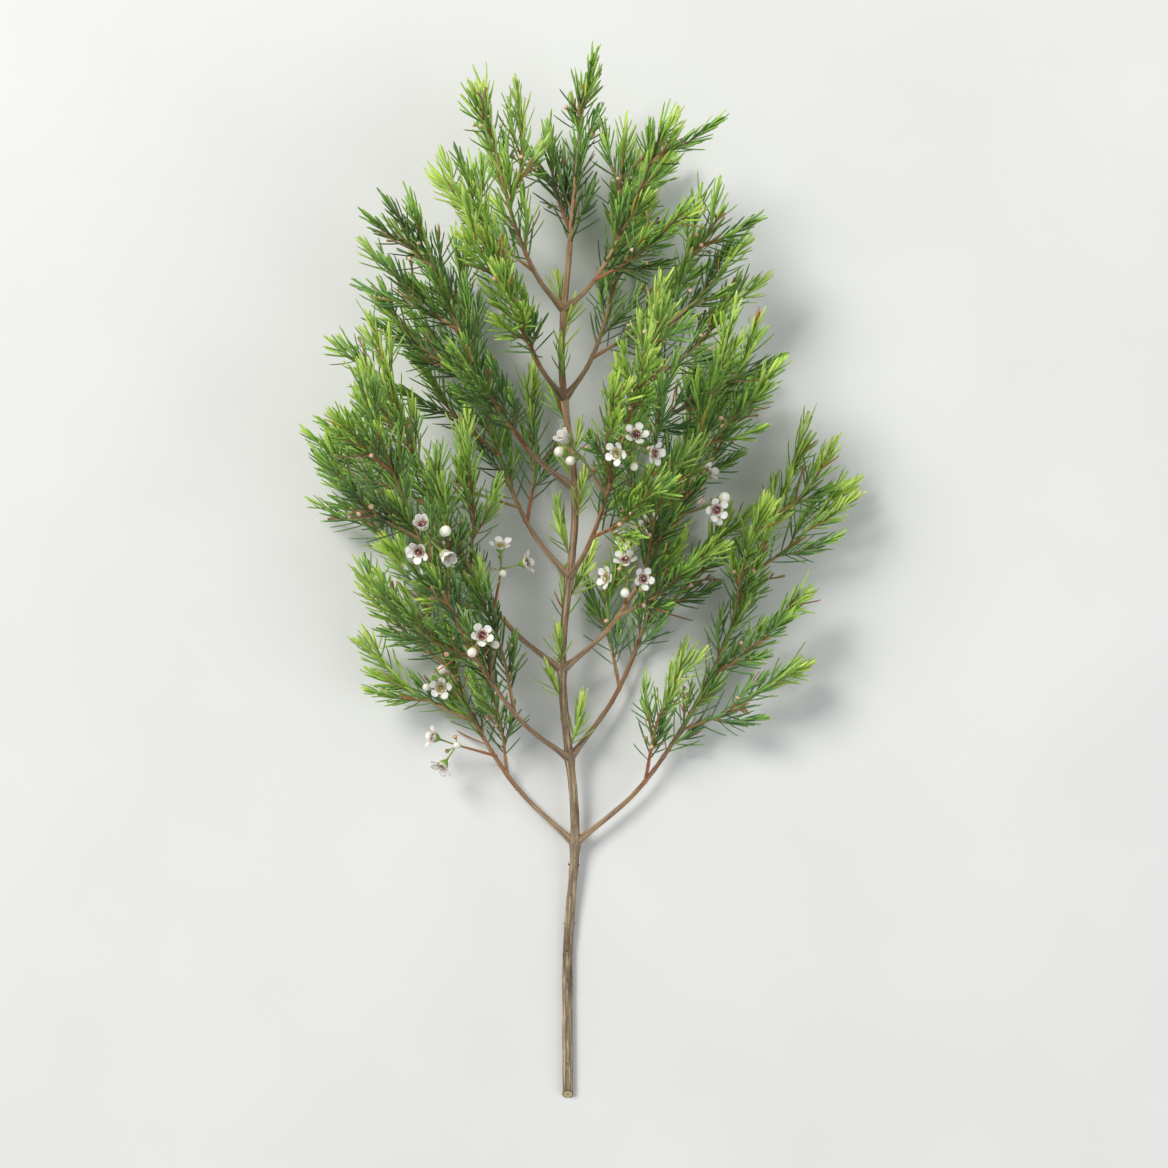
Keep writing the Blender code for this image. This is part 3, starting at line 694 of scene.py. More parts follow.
# %% [markdown]
# A tube along a path is what a curve is for: each shoot is a chain of points, the tree turns the chain into a
# curve, and sweeps a circle along it that is scaled by the thickness stored at each point. Slow ridges on the
# surface keep the stem from looking like a pipe.

# %% The tree that skins the shoots
RIDGE_STRETCH = 28.0
RIDGE_SCALE = 2.4


def build_skin_tree():
    tree, given = open_group("skin the shoots", "GeometryNodeTree", ("Mesh", "Geometry"),
                             {"Lines": "Geometry", "Sides": 8, "Ridge Depth": 0.0001, "Finish": "Material"})
    curve = tree.put("GeometryNodeMeshToCurve", {"Mesh": given["Lines"]})
    curve = tree.stored(curve, "run", tree.put("GeometryNodeSplineParameter", output="Length"))
    circle = tree.put("GeometryNodeCurvePrimitiveCircle", {"Resolution": given["Sides"], "Radius": 1.0})
    circle = tree.stored(circle, "ring", tree.put("GeometryNodeInputPosition"), "FLOAT_VECTOR")
    mesh = tree.put("GeometryNodeCurveToMesh", {"Curve": curve, "Profile Curve": circle,
                                                "Scale": tree.attribute("thickness"), "Fill Caps": True})
    place = tree.along_tube(tree.attribute("ring", "FLOAT_VECTOR"), tree.attribute("run"), RIDGE_STRETCH)
    noise = tree.put("ShaderNodeTexNoise", {"Vector": place, "Scale": RIDGE_SCALE, "Detail": 2.0})
    amount = tree.worked("MULTIPLY", tree.worked("SUBTRACT", noise, 0.5), given["Ridge Depth"])
    normal = tree.put("GeometryNodeInputNormal")
    offset = tree.put("ShaderNodeVectorMath", {0: normal, "Scale": amount}, operation="SCALE")
    mesh = tree.put("GeometryNodeSetPosition", {"Geometry": mesh, "Offset": offset})
    return tree.end(tree.put("GeometryNodeSetShadeSmooth", {"Geometry": mesh}), given["Finish"])


SKIN = build_skin_tree()
print("tree:", SKIN.name, "with", len(SKIN.nodes), "nodes")

# %% [markdown]
# Every finer piece is a mesh that stores some values at its corners, which its finish reads back. Closed
# shapes are laid out as rings of corners, with faces from each ring to the next.

# %% Meshes and pieces
def new_mesh(name, corners, faces=(), edges=(), finish=None, **stored):
    """A mesh, with a value or a vector stored at each corner under each name."""
    mesh = bpy.data.meshes.new(name)
    mesh.from_pydata(corners, edges, faces)
    for label, values in stored.items():
        values = np.array(values, np.float32)
        kind, key = ("FLOAT", "value") if values.ndim == 1 else ("FLOAT_VECTOR", "vector")
        mesh.attributes.new(label, kind, "POINT").data.foreach_set(key, values.ravel())
    mesh.shade_smooth()
    if finish:
        mesh.materials.append(finish)
    return mesh


def angles_round(count):
    """Evenly spread angles, once round."""
    return [2 * math.pi * k / count for k in range(count)]


def bands(rings, flip=False):
    """Faces from each ring of corners to the next. A ring of one corner closes in a fan."""
    faces = []
    for low, high in zip(rings, rings[1:]):
        sides = max(len(low), len(high))
        for k in range(sides):
            n = (k + 1) % sides
            quad = [low[k % len(low)], low[n % len(low)], high[n % len(high)], high[k % len(high)]]
            quad = quad[:1] + quad[:0:-1] if flip else quad
            faces.append(list(dict.fromkeys(quad)))
    return faces


def wire(lines):
    """A mesh of chained edges from (points, thicknesses, ages, tone) lines."""
    corners, edges, thick, ages, tones = [], [], [], [], []
    for points, thicknesses, line_ages, tone in lines:
        edges += [(len(corners) + i, len(corners) + i + 1) for i in range(len(points) - 1)]
        corners += [point - FOOTPRINT_MIDDLE for point in points]
        thick += thicknesses
        ages += line_ages
        tones += [tone] * len(points)
    return new_mesh("lines", corners, edges=edges, thickness=thick, age=ages, tone=tones)


def add_piece(name, mesh, slot, *nodes):
    """A finished piece of the stem: it rides with it and stands for its solids. Gives back its faces."""
    mesh.name = name
    piece = bpy.data.objects.new(name, mesh)
    scene.collection.objects.link(piece)
    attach(piece, "root")
    if nodes:
        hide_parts(*nodes)
    return len(mesh.polygons)


print("helpers:", new_mesh.__name__, bands.__name__, wire.__name__, add_piece.__name__)

# %% [markdown]
# The woody stem swells where a pair of sprays leaves it, and its bare foot carries the low rings of old leaf
# pairs. The foot of each spray starts inside the stem with a collar, as a real branch does. The cut is
# slanted, so the stem's first rings are pushed back to one slanting plane.

# %% The woody stem
STEM_POINTS = 260
STEM_SIDES = 20
STEM_RIDGE = 0.00055
STEM_AGES = (1.0, 0.64)
STEM_TONE = 0.30
TAPER_RUN = 0.045
NODE_SWELL = 0.30
NODE_SWELL_REACH = 0.0045
SCAR_PITCH = 0.0155
SCAR_SWELL = 0.07
SCAR_REACH = 0.0011
COLLAR_SWELL = 0.45
COLLAR_REACH = 0.0045
FOOT_POINTS = 24
FOOT_AGES = (0.84, 0.70)
FOOT_TONE = 0.32
BUTT_CUT_SLOPE = 0.9
STUB_FIRST = 1
STUB_LAST = 9
STUB_ROOT = 1.25 * BUTT_RADIUS
STUB_LENGTHS = (0.0004, 0.0012)
STUB_LEANS = (0.7, 1.3)
STUB_TURN_SHAKE = 0.15
STUB_RADIUS = 0.00048
STUB_WIDTHS = (1.5, 1.3, 1.0, 0.75)
STUB_AGE = 0.9
STUB_TONE = 0.6


def swelling(distance, reach):
    """How far a knot is swollen at a distance from its middle, from 0 to 1."""
    return math.exp(-((distance / reach) ** 2))


def knuckles(along, pitch, reach):
    """How far a line is swollen that carries a knot at every pitch."""
    return swelling((along + pitch / 2) % pitch - pitch / 2, reach)


def stem_line():
    """The woody stem's finer line, with its swellings."""
    starts = sorted({round(spray.points[0].y, 5) for spray in sprays[:-1]})
    points, thick, ages = [], [], []
    for share in evenly(0.0, 1.0, STEM_POINTS):
        point = axis.at(share)[0]
        begun = clamped((point.y - BUTT_STRAIGHT + TAPER_RUN / 2) / TAPER_RUN)
        radius = between(BUTT_RADIUS, between(BUTT_RADIUS, AXIS_TIP_RADIUS, share), begun)
        swell = sum(NODE_SWELL * swelling(point.y - y, NODE_SWELL_REACH) for y in starts)
        swell += SCAR_SWELL * knuckles(point.y, SCAR_PITCH, SCAR_REACH)
        points.append(point)
        thick.append(radius * (1 + swell))
        ages.append(between(*STEM_AGES, share))
    return points, thick, ages, STEM_TONE


def foot_line(fine):
    """The woody foot of a spray, from inside the stem to where the twig takes over."""
    run = fine.points[: FOOT_POINTS + 1]
    thick, ages = [], []
    for point, share in zip(run, evenly(0.0, 1.0, len(run))):
        collar = swelling((point - run[0]).length - BUTT_RADIUS, COLLAR_REACH)
        thick.append(between(WOODY_RADIUS, TWIG_RADIUS, share) * (1 + COLLAR_SWELL * collar))
        ages.append(between(*FOOT_AGES, share))
    return run, thick, ages, FOOT_TONE


def stub_lines(dice):
    """Short stubs on the bare foot, in crossed pairs, where old leaves and twigs were stripped."""
    lines = []
    for i in range(STUB_FIRST, STUB_LAST):
        start, heading = axis_at(i * SCAR_PITCH)
        for side in range(2):
            around = math.pi * side + math.pi / 2 * (i % 2) + dice.gauss(0, STUB_TURN_SHAKE)
            away = perpendicular(heading, around)
            direction = (away + heading * dice.uniform(*STUB_LEANS)).normalized()
            length = STUB_ROOT + dice.uniform(*STUB_LENGTHS)
            points = [start + direction * run for run in evenly(0.0, length, len(STUB_WIDTHS))]
            if points[-1].z >= STUB_RADIUS:
                widths = [STUB_RADIUS * width for width in STUB_WIDTHS]
                lines.append((points, widths, [STUB_AGE] * len(points), STUB_TONE))
    return lines


fine_sprays = [spray.smoothed(FOOT_POINTS * SPRAY_RUNS + 1) for spray in sprays[:-1]]
fine_sprays.append(sprays[-1].smoothed(FOOT_POINTS * SHOOT_RUNS + 1))
stem_lines = [stem_line(), *map(foot_line, fine_sprays[:-1]), *stub_lines(random.Random(SEED + 2))]
stem_mesh = run_tree(SKIN, wire(stem_lines), {"Sides": STEM_SIDES, "Ridge Depth": STEM_RIDGE, "Finish": BARK})
for corner in stem_mesh.vertices:
    corner.co.y = max(corner.co.y, corner.co.z * BUTT_CUT_SLOPE - FOOTPRINT_MIDDLE.y)
    corner.co.z = max(corner.co.z, 0.0)
print("woody stem faces:", add_piece("woody_stem_bark", stem_mesh, "bark", "woody_stem"))

# %% The cut face
CUT_RINGS = 6
CUT_SIDES = 24
CUT_RADIUS = 0.94 * BUTT_RADIUS
CUT_PROUD = 0.00012
PITH_RINGS = 1
PITH_SUNK = 0.00025


def cut_face():
    """A thin slanting disc of wood on the end of the stem, with its pith sunk a little."""
    middle = axis.points[0] - FOOTPRINT_MIDDLE
    corners, out = [], []

    def corner(ring, angle, proud):
        share = ring / CUT_RINGS
        height = max(middle.z + CUT_RADIUS * share * math.sin(angle), 0.0)
        sunk = PITH_SUNK if proud > 0 and ring <= PITH_RINGS else 0.0
        y = height * BUTT_CUT_SLOPE - FOOTPRINT_MIDDLE.y - proud + sunk
        corners.append((middle.x + CUT_RADIUS * share * math.cos(angle), y, height))
        out.append(share)
        return len(corners) - 1

    front, back = [
        [[corner(ring, angle, proud) for angle in angles_round(CUT_SIDES if ring else 1)]
         for ring in range(CUT_RINGS + 1)]
        for proud in (CUT_PROUD, -2 * CUT_PROUD)]
    faces = bands(front, flip=True) + bands([ring[::-1] for ring in back], flip=True)
    faces += bands([front[-1], back[-1]], flip=True)
    return new_mesh("cut", corners, faces, finish=CUT_WOOD, along=out)


add_piece("cut_face", cut_face(), "bark")
print("cut face, mm across:", round(2000 * CUT_RADIUS, 1))

# %% [markdown]
# Leaves sit in opposite pairs, and each pair is turned a quarter from the last. Older leaves stand off, and
# the young ones near a tip lie close to it in a brush. In their axils grow short leafy tufts, which make the
# plant look as full as it does. Each leaf is only a point here, with the way it faces, its length and its
# youth.

# %% Tufts in the axils
TUFT_PITCH = 0.0098
TUFT_END = 0.94
TUFT_JOINTS = 2
TUFT_PLACES = (0.3, 0.7)
TUFT_TURN_SHAKE = 0.7
TUFT_LENGTHS = (0.014, 0.034)
TUFT_LEAST_SHARE = 0.45
TUFT_GAIN = 1.4
TUFT_SPREAD = math.radians(42)
TUFT_CLOSE = math.radians(12)
TUFT_CLEAR_START = 0.2
TUFT_CLEARANCE = 0.0015
TUFT_FLOOR = 0.003
FIRST_ON_TWIG = 0.27
FIRST_ON_SHOOT = 0.16
FIRST_ON_LEADER = 0.06
FIRST_ON_AXIS = 0.40
AXIS_TUFT_PITCH = 0.017
AXIS_FINE_POINTS = 120
SHOOT_FINE_POINTS = 17

flowers_only = Crowd()
for head in heads:
    for place, radius in head.balls():
        flowers_only.add([place], radius, head.name)


def plan_tufts(line, first, dice, pitch=TUFT_PITCH):
    """Short leafy shoots in the axils of a line, on alternating sides, where they clear the flowers."""
    tufts = []
    count = int(line.length * (TUFT_END - first) / pitch)
    for i in range(count):
        share = first + (TUFT_END - first) * (i + dice.uniform(*TUFT_PLACES)) / count
        start, heading = line.at(share)
        turn = math.pi * (i % 2) + math.pi / 2 * ((i // 2) % 2)
        turn += dice.uniform(-TUFT_TURN_SHAKE, TUFT_TURN_SHAKE)
        outward = perpendicular(heading, turn)
        length = dice.uniform(*TUFT_LENGTHS) * min(1.0, TUFT_LEAST_SHARE + TUFT_GAIN * (1.0 - share))
        points = grow(start, heading, outward, length, TUFT_SPREAD, TUFT_CLOSE, TUFT_JOINTS, TUFT_FLOOR)
        tuft = Shoot(points, line.owner, outward)
        if flowers_only.room(spaced(tuft, TUFT_CLEAR_START)) > TUFT_CLEARANCE:
            tufts.append((tuft, share))
    return tufts


dice = random.Random(SEED + 3)
fine_axis = axis.smoothed(AXIS_FINE_POINTS)
leafy_lines = {axis.owner: ([], plan_tufts(fine_axis, FIRST_ON_AXIS, dice, AXIS_TUFT_PITCH))}
for spray, fine in zip(sprays, fine_sprays):
    lines = [(fine, FIRST_ON_LEADER if spray is sprays[-1] else FIRST_ON_TWIG)]
    lines += [(shoot.smoothed(SHOOT_FINE_POINTS), FIRST_ON_SHOOT) for shoot in side_shoots[spray.owner]]
    tufts = [tuft for line, first in lines for tuft in plan_tufts(line, first, dice)]
    leafy_lines[spray.owner] = (lines, tufts)
print("tufts:", sum(len(tufts) for _, tufts in leafy_lines.values()))

# %% Places of the leaves
LEAF_PITCH = 0.0038
LEAF_END = 0.99
LEAF_LENGTHS = (0.0205, 0.01476)
LEAF_SPREADS = (math.radians(50), math.radians(20))
TUFT_LEAF_PITCH = 0.0023
TUFT_LEAF_START = 0.14
TUFT_LEAF_END = 0.98
TUFT_LEAF_LENGTHS = (0.0168, 0.010416)
TUFT_LEAF_SPREADS = (math.radians(38), math.radians(14))
LEAF_FLOOR = 0.0007
LEAF_CLEARANCE = 0.0004
LEAF_CHECKS = 6
LEAF_SIZES = (0.82, 1.12)
SPREAD_SHAKE = 0.08
TURN_SHAKE = 0.14
YOUTH_SHAKE = 0.09
LEAST_INNER = 0.05
DRY_SHARE = 0.05
DRYNESS = (0.4, 1.0)
PIECE_YOUTH_SHAKE = 0.18
LINE_YOUTHS = (0.06, 0.74)
TUFT_YOUTHS = (0.08, 0.58)
TUFT_YOUTH_SHAKES = (-0.18, 0.22)
TUFT_YOUTH_RISE = 0.28


class Sites:
    """Where the leaves of a piece are: place, the way each faces, inner side, length, youth and dryness."""

    def __init__(self):
        self.rows = []

    def add(self, place, facing, inner, length, youth=0.5, dryness=0.0):
        self.rows.append((place - FOOTPRINT_MIDDLE, facing, inner, length, youth, dryness))

    def pairs(self, line, first, last, pitch, lengths, spreads, youths, dice):
        """Opposite pairs along a line, each a quarter turn from the last."""
        count = max(2, round(line.length * (last - first) / pitch) + 1)
        for i, share in enumerate(evenly(first, last, count)):
            start, heading = line.at(share)
            out = (line.outward - heading * line.outward.dot(heading)).normalized()
            across = heading.cross(out)
            for side in range(2):
                length = between(*lengths, share) * dice.uniform(*LEAF_SIZES)
                spread = between(*spreads, share) + dice.gauss(0, SPREAD_SHAKE)
                around = math.pi / 2 * (i % 2) + side * math.pi + dice.gauss(0, TURN_SHAKE)
                away = splayed(out, across, around)
                direction = splayed(heading, away, spread)
                direction.z = max(direction.z, (LEAF_FLOOR - start.z) / length)
                direction.normalize()
                checks = [start + direction * (length * k / LEAF_CHECKS) for k in range(1, LEAF_CHECKS + 1)]
                if flowers_only.room(checks) < LEAF_CLEARANCE:
                    continue
                inner = heading - direction * heading.dot(direction)
                inner = inner.normalized() if inner.length > LEAST_INNER else away
                youth = clamped(between(*youths, share) + dice.gauss(0, YOUTH_SHAKE))
                dryness = dice.uniform(*DRYNESS) if dice.random() < DRY_SHARE * (1 - share) else 0.0
                self.add(start, direction, inner, length, youth, dryness)

    def mesh(self):
        """The places as the corners of a mesh, with all the rest stored there."""
        places, *values = zip(*self.rows)
        names = ("facing", "inner", "length", "youth", "dryness")
        return new_mesh("sites", places, **dict(zip(names, values)))


all_sites = {}
for owner, (lines, tufts) in leafy_lines.items():
    sites = Sites()
    base = dice.uniform(-PIECE_YOUTH_SHAKE, PIECE_YOUTH_SHAKE)
    youths = [base + youth for youth in LINE_YOUTHS]
    for line, first in lines:
        sites.pairs(line, first, LEAF_END, LEAF_PITCH, LEAF_LENGTHS, LEAF_SPREADS, youths, dice)
    for tuft, share in tufts:
        young = base + between(*TUFT_YOUTHS, share) + dice.uniform(*TUFT_YOUTH_SHAKES)
        sites.pairs(tuft, TUFT_LEAF_START, TUFT_LEAF_END, TUFT_LEAF_PITCH, TUFT_LEAF_LENGTHS,
                    TUFT_LEAF_SPREADS, (young, young + TUFT_YOUTH_RISE), dice)
    all_sites[owner] = sites
print("leaves:", sum(len(sites.rows) for sites in all_sites.values()))

# %% [markdown]
# A waxflower leaf is a stiff needle, three-sided, flat on its inner face with a shallow channel, keeled below
# and drawn to a small point. Its two margins are sharp edges, so that its faces catch the light apart. It has
# about twenty faces, because there are thousands of them. Three bends are enough for variety, and the tree
# picks among them with a fixed seed.

# %% Leaf shapes
LEAF_WIDTH = 0.0014
LEAF_KEEL = 0.00070
LEAF_CHANNEL = 0.00012
LEAF_STATIONS = ((0.0, 0.42), (0.12, 0.80), (0.45, 1.0), (0.82, 0.92), (0.95, 0.62))
LEAF_BENDS = (0.0004, 0.0013, 0.0024)
LEAF_TIP_BEND = 1.08


def leaf_shape(bend):
    """A leaf one unit long on +Z, its inner face to +X, drawn at its real width."""
    corners = []
    for t, width in LEAF_STATIONS:
        x = bend * t * t
        half = LEAF_WIDTH / 2 * width
        corners += [(x - LEAF_CHANNEL * width, 0.0, t), (x, half, t),
                    (x - LEAF_KEEL * width, 0.0, t), (x, -half, t)]
    rings = [list(range(first, first + 4)) for first in range(0, len(corners), 4)]
    rings.append([len(corners)])
    corners.append((bend * LEAF_TIP_BEND, 0.0, 1.0))
    faces = [*bands(rings), rings[0][::-1]]
    mesh = new_mesh("leaf", corners, faces, along=[corner[2] for corner in corners])
    margins = mesh.attributes.new("sharp_edge", "BOOLEAN", "EDGE")
    for edge in mesh.edges:
        low, high = sorted(edge.vertices)
        margins.data[edge.index].value = high - low == 4 and low % 4 in (1, 3)
    return mesh


def gathered(name, meshes):
    """A collection of one object for each mesh."""
    held = bpy.data.collections.new(name)
    for number, mesh in enumerate(meshes):
        held.objects.link(bpy.data.objects.new(f"{name}_{number}", mesh))
    return held


leaf_shapes = gathered("leaf_shape", map(leaf_shape, LEAF_BENDS))

# %% Leaf finish
def build_leaf():
    """Waxy green: deep and bluish when old, yellow-green when young, with oil dots, a paler root and a
    painted highlight on the tip.
    """
    leaf = Finish("needle_leaf", Coat_Weight=0.08, Coat_Roughness=0.35)
    clouds = leaf.effect(MOTTLING, 75.0)
    fine = leaf.effect(MOTTLING, 700.0)
    dots = leaf.effect(OIL_DOTS, 1500.0)
    cool = leaf.effect(MOTTLING, 16.0)
    along = leaf.from_mesh("along")
    youth = leaf.shaken(leaf.from_mesh("youth"), clouds, -0.12, 0.12)
    youth = leaf.shaken(youth, along, -0.06, 0.10)
    colour = leaf.ramp(youth, (0.00, 34, 66, 36), (0.22, 60, 106, 44), (0.45, 104, 156, 52),
                       (0.70, 160, 204, 68), (1.00, 212, 234, 108))
    colour = leaf.tinted(colour, (86, 142, 96), cool, (0.0, 0.50), (0.45, 1.0))
    colour = leaf.tinted(colour, (206, 220, 140), fine, (0.0, 0.18))
    colour = leaf.tinted(colour, (44, 76, 32), dots, (0.0, 0.30))
    colour = leaf.tinted(colour, (196, 196, 118), along, (0.45, 0.0), (0.0, 0.10))
    # Painted highlight: the last six per cent of each leaf turns pale, as if its blunt tip caught the light.
    colour = leaf.tinted(colour, (214, 206, 140), along, (0.0, 0.6), (0.94, 1.0))
    colour = leaf.blended(leaf.from_mesh("dryness"), colour, (176, 112, 60))
    return leaf.done(colour, fine, (0.36, 0.52), dots, 0.00006, 0.5)


LEAF = build_leaf()
print("finish:", LEAF.name)

# %% The tree that sets the leaves
SHAPE_COUNT = len(LEAF_BENDS)


def set_shapes(tree, given, points, turn, size):
    """Sets one of the given shapes on each point, picked at random, and closes the tree."""
    shapes = tree.put("GeometryNodeCollectionInfo",
                      {"Collection": given["Shapes"], "Separate Children": True, "Reset Children": True})
    which = tree.random(0, SHAPE_COUNT - 1, given["Seed"])
    copies = tree.put("GeometryNodeInstanceOnPoints",
                      {"Points": points, "Instance": shapes, "Pick Instance": True, "Instance Index": which,
                       "Rotation": turn, "Scale": size})
    return tree.end(copies, given["Finish"])


def build_leaf_tree():
    tree, given = open_group("set the leaves", "GeometryNodeTree", ("Mesh", "Geometry"),
                             {"Sites": "Geometry", "Shapes": "Collection", "Narrowest": 0.8, "Widest": 1.1,
                              "Roll": 0.35, "Seed": SEED, "Finish": "Material"})
    turn = tree.put("FunctionNodeAxesToRotation",
                    {"Primary Axis": tree.attribute("facing", "FLOAT_VECTOR"),
                     "Secondary Axis": tree.attribute("inner", "FLOAT_VECTOR")},
                    primary_axis="Z", secondary_axis="X")
    roll = tree.put("FunctionNodeAxisAngleToRotation",
                    {"Axis": Z, "Angle": tree.shake(given["Roll"], given["Seed"])})
    turn = tree.put("FunctionNodeRotateRotation", {"Rotation": turn, "Rotate By": roll},
                    rotation_space="LOCAL")
    width = tree.random(given["Narrowest"], given["Widest"], given["Seed"])
    size = tree.put("ShaderNodeCombineXYZ", {"X": width, "Y": width, "Z": tree.attribute("length")})
    return set_shapes(tree, given, given["Sites"], turn, size)


LEAVES = build_leaf_tree()
leaf_faces = 0
for number, (owner, sites) in enumerate(all_sites.items()):
    made = run_tree(LEAVES, sites.mesh(), {"Shapes": leaf_shapes, "Seed": SEED + number, "Finish": LEAF})
    for name in ("facing", "inner", "length"):
        made.attributes.remove(made.attributes[name])
    for corner in made.vertices:
        corner.co.z = max(corner.co.z, 0.0)
    leaf_faces += add_piece(owner + "_leaves", made, "leaf", *[owner] * owner.startswith("spray"))
print("faces in leaves:", leaf_faces)

# %% [markdown]
# The twigs of a spray are skinned with the same tree as the stem, in fewer sides. They start a little inside
# the woody foot, taper to thin green tips, and swell slightly at every leaf pair. Here and there stands a
# forked bare twig, where last year's flowers were.

# %% Twigs
TWIG_SIDES = 8
TWIG_RIDGE = 0.0002
TWIG_STEP = 0.0014
TWIG_END_RADIUS = 0.00055
TWIG_AGES = (0.70, 0.12)
TWIG_TONES = (0.15, 0.6)
SHOOT_RADII = (0.00095, 0.00048)
SHOOT_AGES = (0.50, 0.04)
STALK_RADII = (0.000806, 0.00062)
STALK_AGES = (0.40, 0.16)
STALK_POINTS = 12
TUFT_RADII = (0.0006, 0.0003)
TUFT_POINTS = 8
TUFT_ROOT_AGES = (0.34, 0.14)
LEAF_NODE_SWELL = 0.16
LEAF_NODE_REACH = 0.0009
LEAF_NODE_PITCH = 0.0084
SPENT_PLACES = (0.25, 0.65)
SPENT_LEAN = 0.75
SPENT_FORK = 0.40
SPENT_RADIUS = 0.00050
SPENT_LENGTHS = (0.008, 0.016)
SPENT_ENDS = (0.004, 0.009)
SPENT_TONES = (0.0, 0.5)
SPENT_STEM = (0.62, (1.0, 1.0, 1.0, 1.0, 1.0, 1.0))
SPENT_BRANCH = (0.50, (0.9, 0.85, 0.85, 1.1, 1.5, 1.3))


def taper(line, radii, ages, tone):
    """A line with its thickness, knuckled at the leaf nodes, and its age along it."""
    thick, old = [], []
    for share in evenly(0.0, 1.0, len(line.points)):
        knuckle = 1 + LEAF_NODE_SWELL * knuckles(share * line.length, LEAF_NODE_PITCH, LEAF_NODE_REACH)
        thick.append(between(*radii, share) * knuckle)
        old.append(between(*ages, share))
    return line.points, thick, old, tone


def tuft_lines(owner):
    """The thin twigs of the tufts."""
    lines = []
    for tuft, share in leafy_lines[owner][1]:
        ages = (between(*TUFT_ROOT_AGES, share), 0.0)
        lines.append(taper(tuft.smoothed(TUFT_POINTS), TUFT_RADII, ages, dice.random()))
    return lines


def bare_line(start, end, kind, tone):
    """A straight bare twig of one age, with its own widths along it."""
    age, widths = kind
    points = smooth_line([start, start.lerp(end, 0.5), end], len(widths))
    return points, [SPENT_RADIUS * width for width in widths], [age] * len(widths), tone


def spent_stalk(line, dice):
    """A forked bare twig where last year's flowers stood, with blunt ends, as lines to skin."""
    start, heading = line.at(dice.uniform(*SPENT_PLACES))
    away = perpendicular(heading, dice.uniform(0, 2 * math.pi))
    direction = (heading + SPENT_LEAN * away).normalized()
    fork = start + direction * dice.uniform(*SPENT_LENGTHS)
    across = perpendicular(direction, dice.uniform(0, math.pi))
    ends = [fork + (direction + side * SPENT_FORK * across).normalized() * dice.uniform(*SPENT_ENDS)
            for side in (1, -1)]
    if min(end.z for end in ends) < TUFT_FLOOR or flowers_only.room([start, fork, *ends]) < TUFT_CLEARANCE:
        return []
    tone = dice.uniform(*SPENT_TONES)
    branches = [bare_line(fork, end, SPENT_BRANCH, tone) for end in ends]
    return [bare_line(start, fork, SPENT_STEM, tone), *branches]


def twig_lines(spray, fine):
    """The stem of a spray, its side shoots, the stalks of its flower heads and its tufts."""
    leads = spray is sprays[-1]
    stem = Shoot(fine.points[0 if leads else FOOT_POINTS - 1 :], spray.owner)
    radii = (AXIS_TIP_RADIUS if leads else TWIG_RADIUS, TWIG_END_RADIUS)
    lines = [taper(stem.smoothed(int(stem.length / TWIG_STEP)), radii, TWIG_AGES, dice.uniform(*TWIG_TONES))]
    for shoot in side_shoots[spray.owner]:
        shoot = shoot.smoothed(int(shoot.length / TWIG_STEP))
        lines.append(taper(shoot, SHOOT_RADII, SHOOT_AGES, dice.random()))
    for head in heads:
        if head.stalk.owner == spray.owner:
            lines.append(taper(head.stalk.smoothed(STALK_POINTS), STALK_RADII, STALK_AGES, dice.random()))
    return lines + tuft_lines(spray.owner)


def add_twigs(lines, ridge, owner, *nodes):
    """The skinned twigs of a spray, or of the stem, as one piece."""
    made = run_tree(SKIN, wire(lines), {"Sides": TWIG_SIDES, "Ridge Depth": ridge, "Finish": BARK})
    return add_piece(owner + "_twigs", made, "bark", *nodes)


old_dice = random.Random(SEED + 4)
twig_faces = add_twigs(tuft_lines(axis.owner), 0.0, axis.owner)
for spray, fine in zip(sprays, fine_sprays):
    lines = twig_lines(spray, fine)
    for line in [fine, *side_shoots[spray.owner]]:
        lines += spent_stalk(line, old_dice)
    twig_faces += add_twigs(lines, TWIG_RIDGE, spray.owner, spray.owner)
print("faces in twigs:", twig_faces)

# %% [markdown]
# A bloom is built from parts that turn round one axis: a green cup, five petals, five sepals, and a ring of
# stamens round a wet nectar disc. One part is modelled at its own place, and a small tree copies it round the
# axis. Joining five hand-placed petals would work too, but then every change has to be made five times.

# %% The tree that turns parts into a ring
def build_ring_tree():
    tree, given = open_group("ring of parts", "GeometryNodeTree", ("Mesh", "Geometry"),
                             {"Nothing": "Geometry", "Shapes": "Collection", "Count": 5, "First Turn": 0.0,
                              "Turn Spread": 0.05, "Size Spread": 0.05, "Seed": SEED, "Finish": "Material"})
    points = tree.put("GeometryNodePoints", {"Count": given["Count"]})
    step = tree.worked("DIVIDE", 2 * math.pi, given["Count"])
    turn = tree.worked("MULTIPLY_ADD", tree.put("GeometryNodeInputIndex"), step, given["First Turn"])
    turn = tree.worked("ADD", turn, tree.shake(given["Turn Spread"], given["Seed"]))
    turn = tree.put("FunctionNodeAxisAngleToRotation", {"Axis": Z, "Angle": turn})
    least = tree.worked("SUBTRACT", 1.0, given["Size Spread"])
    most = tree.worked("ADD", 1.0, given["Size Spread"])
    return set_shapes(tree, given, points, turn, tree.random(least, most, given["Seed"]))


RING = build_ring_tree()


def ring_of(shapes, count, first_turn, finish, seed, turn_spread=0.05, size_spread=0.05):
    """A plain mesh of parts round +Z."""
    return run_tree(RING, bpy.data.meshes.new("nothing"),
                    {"Shapes": shapes, "Count": count, "First Turn": first_turn, "Finish": finish,
                     "Seed": seed, "Turn Spread": turn_spread, "Size Spread": size_spread})


print("tree:", RING.name, "with", len(RING.nodes), "nodes")

# %% [markdown]
# A petal is a small round blade with a narrow claw. It is drawn as rings round its own middle, which gives an
# even, smooth rim, and its upper and lower skins meet there, so it is closed and thin at the edge. A cup-like
# curl and a soft ruffle keep it from looking stamped.

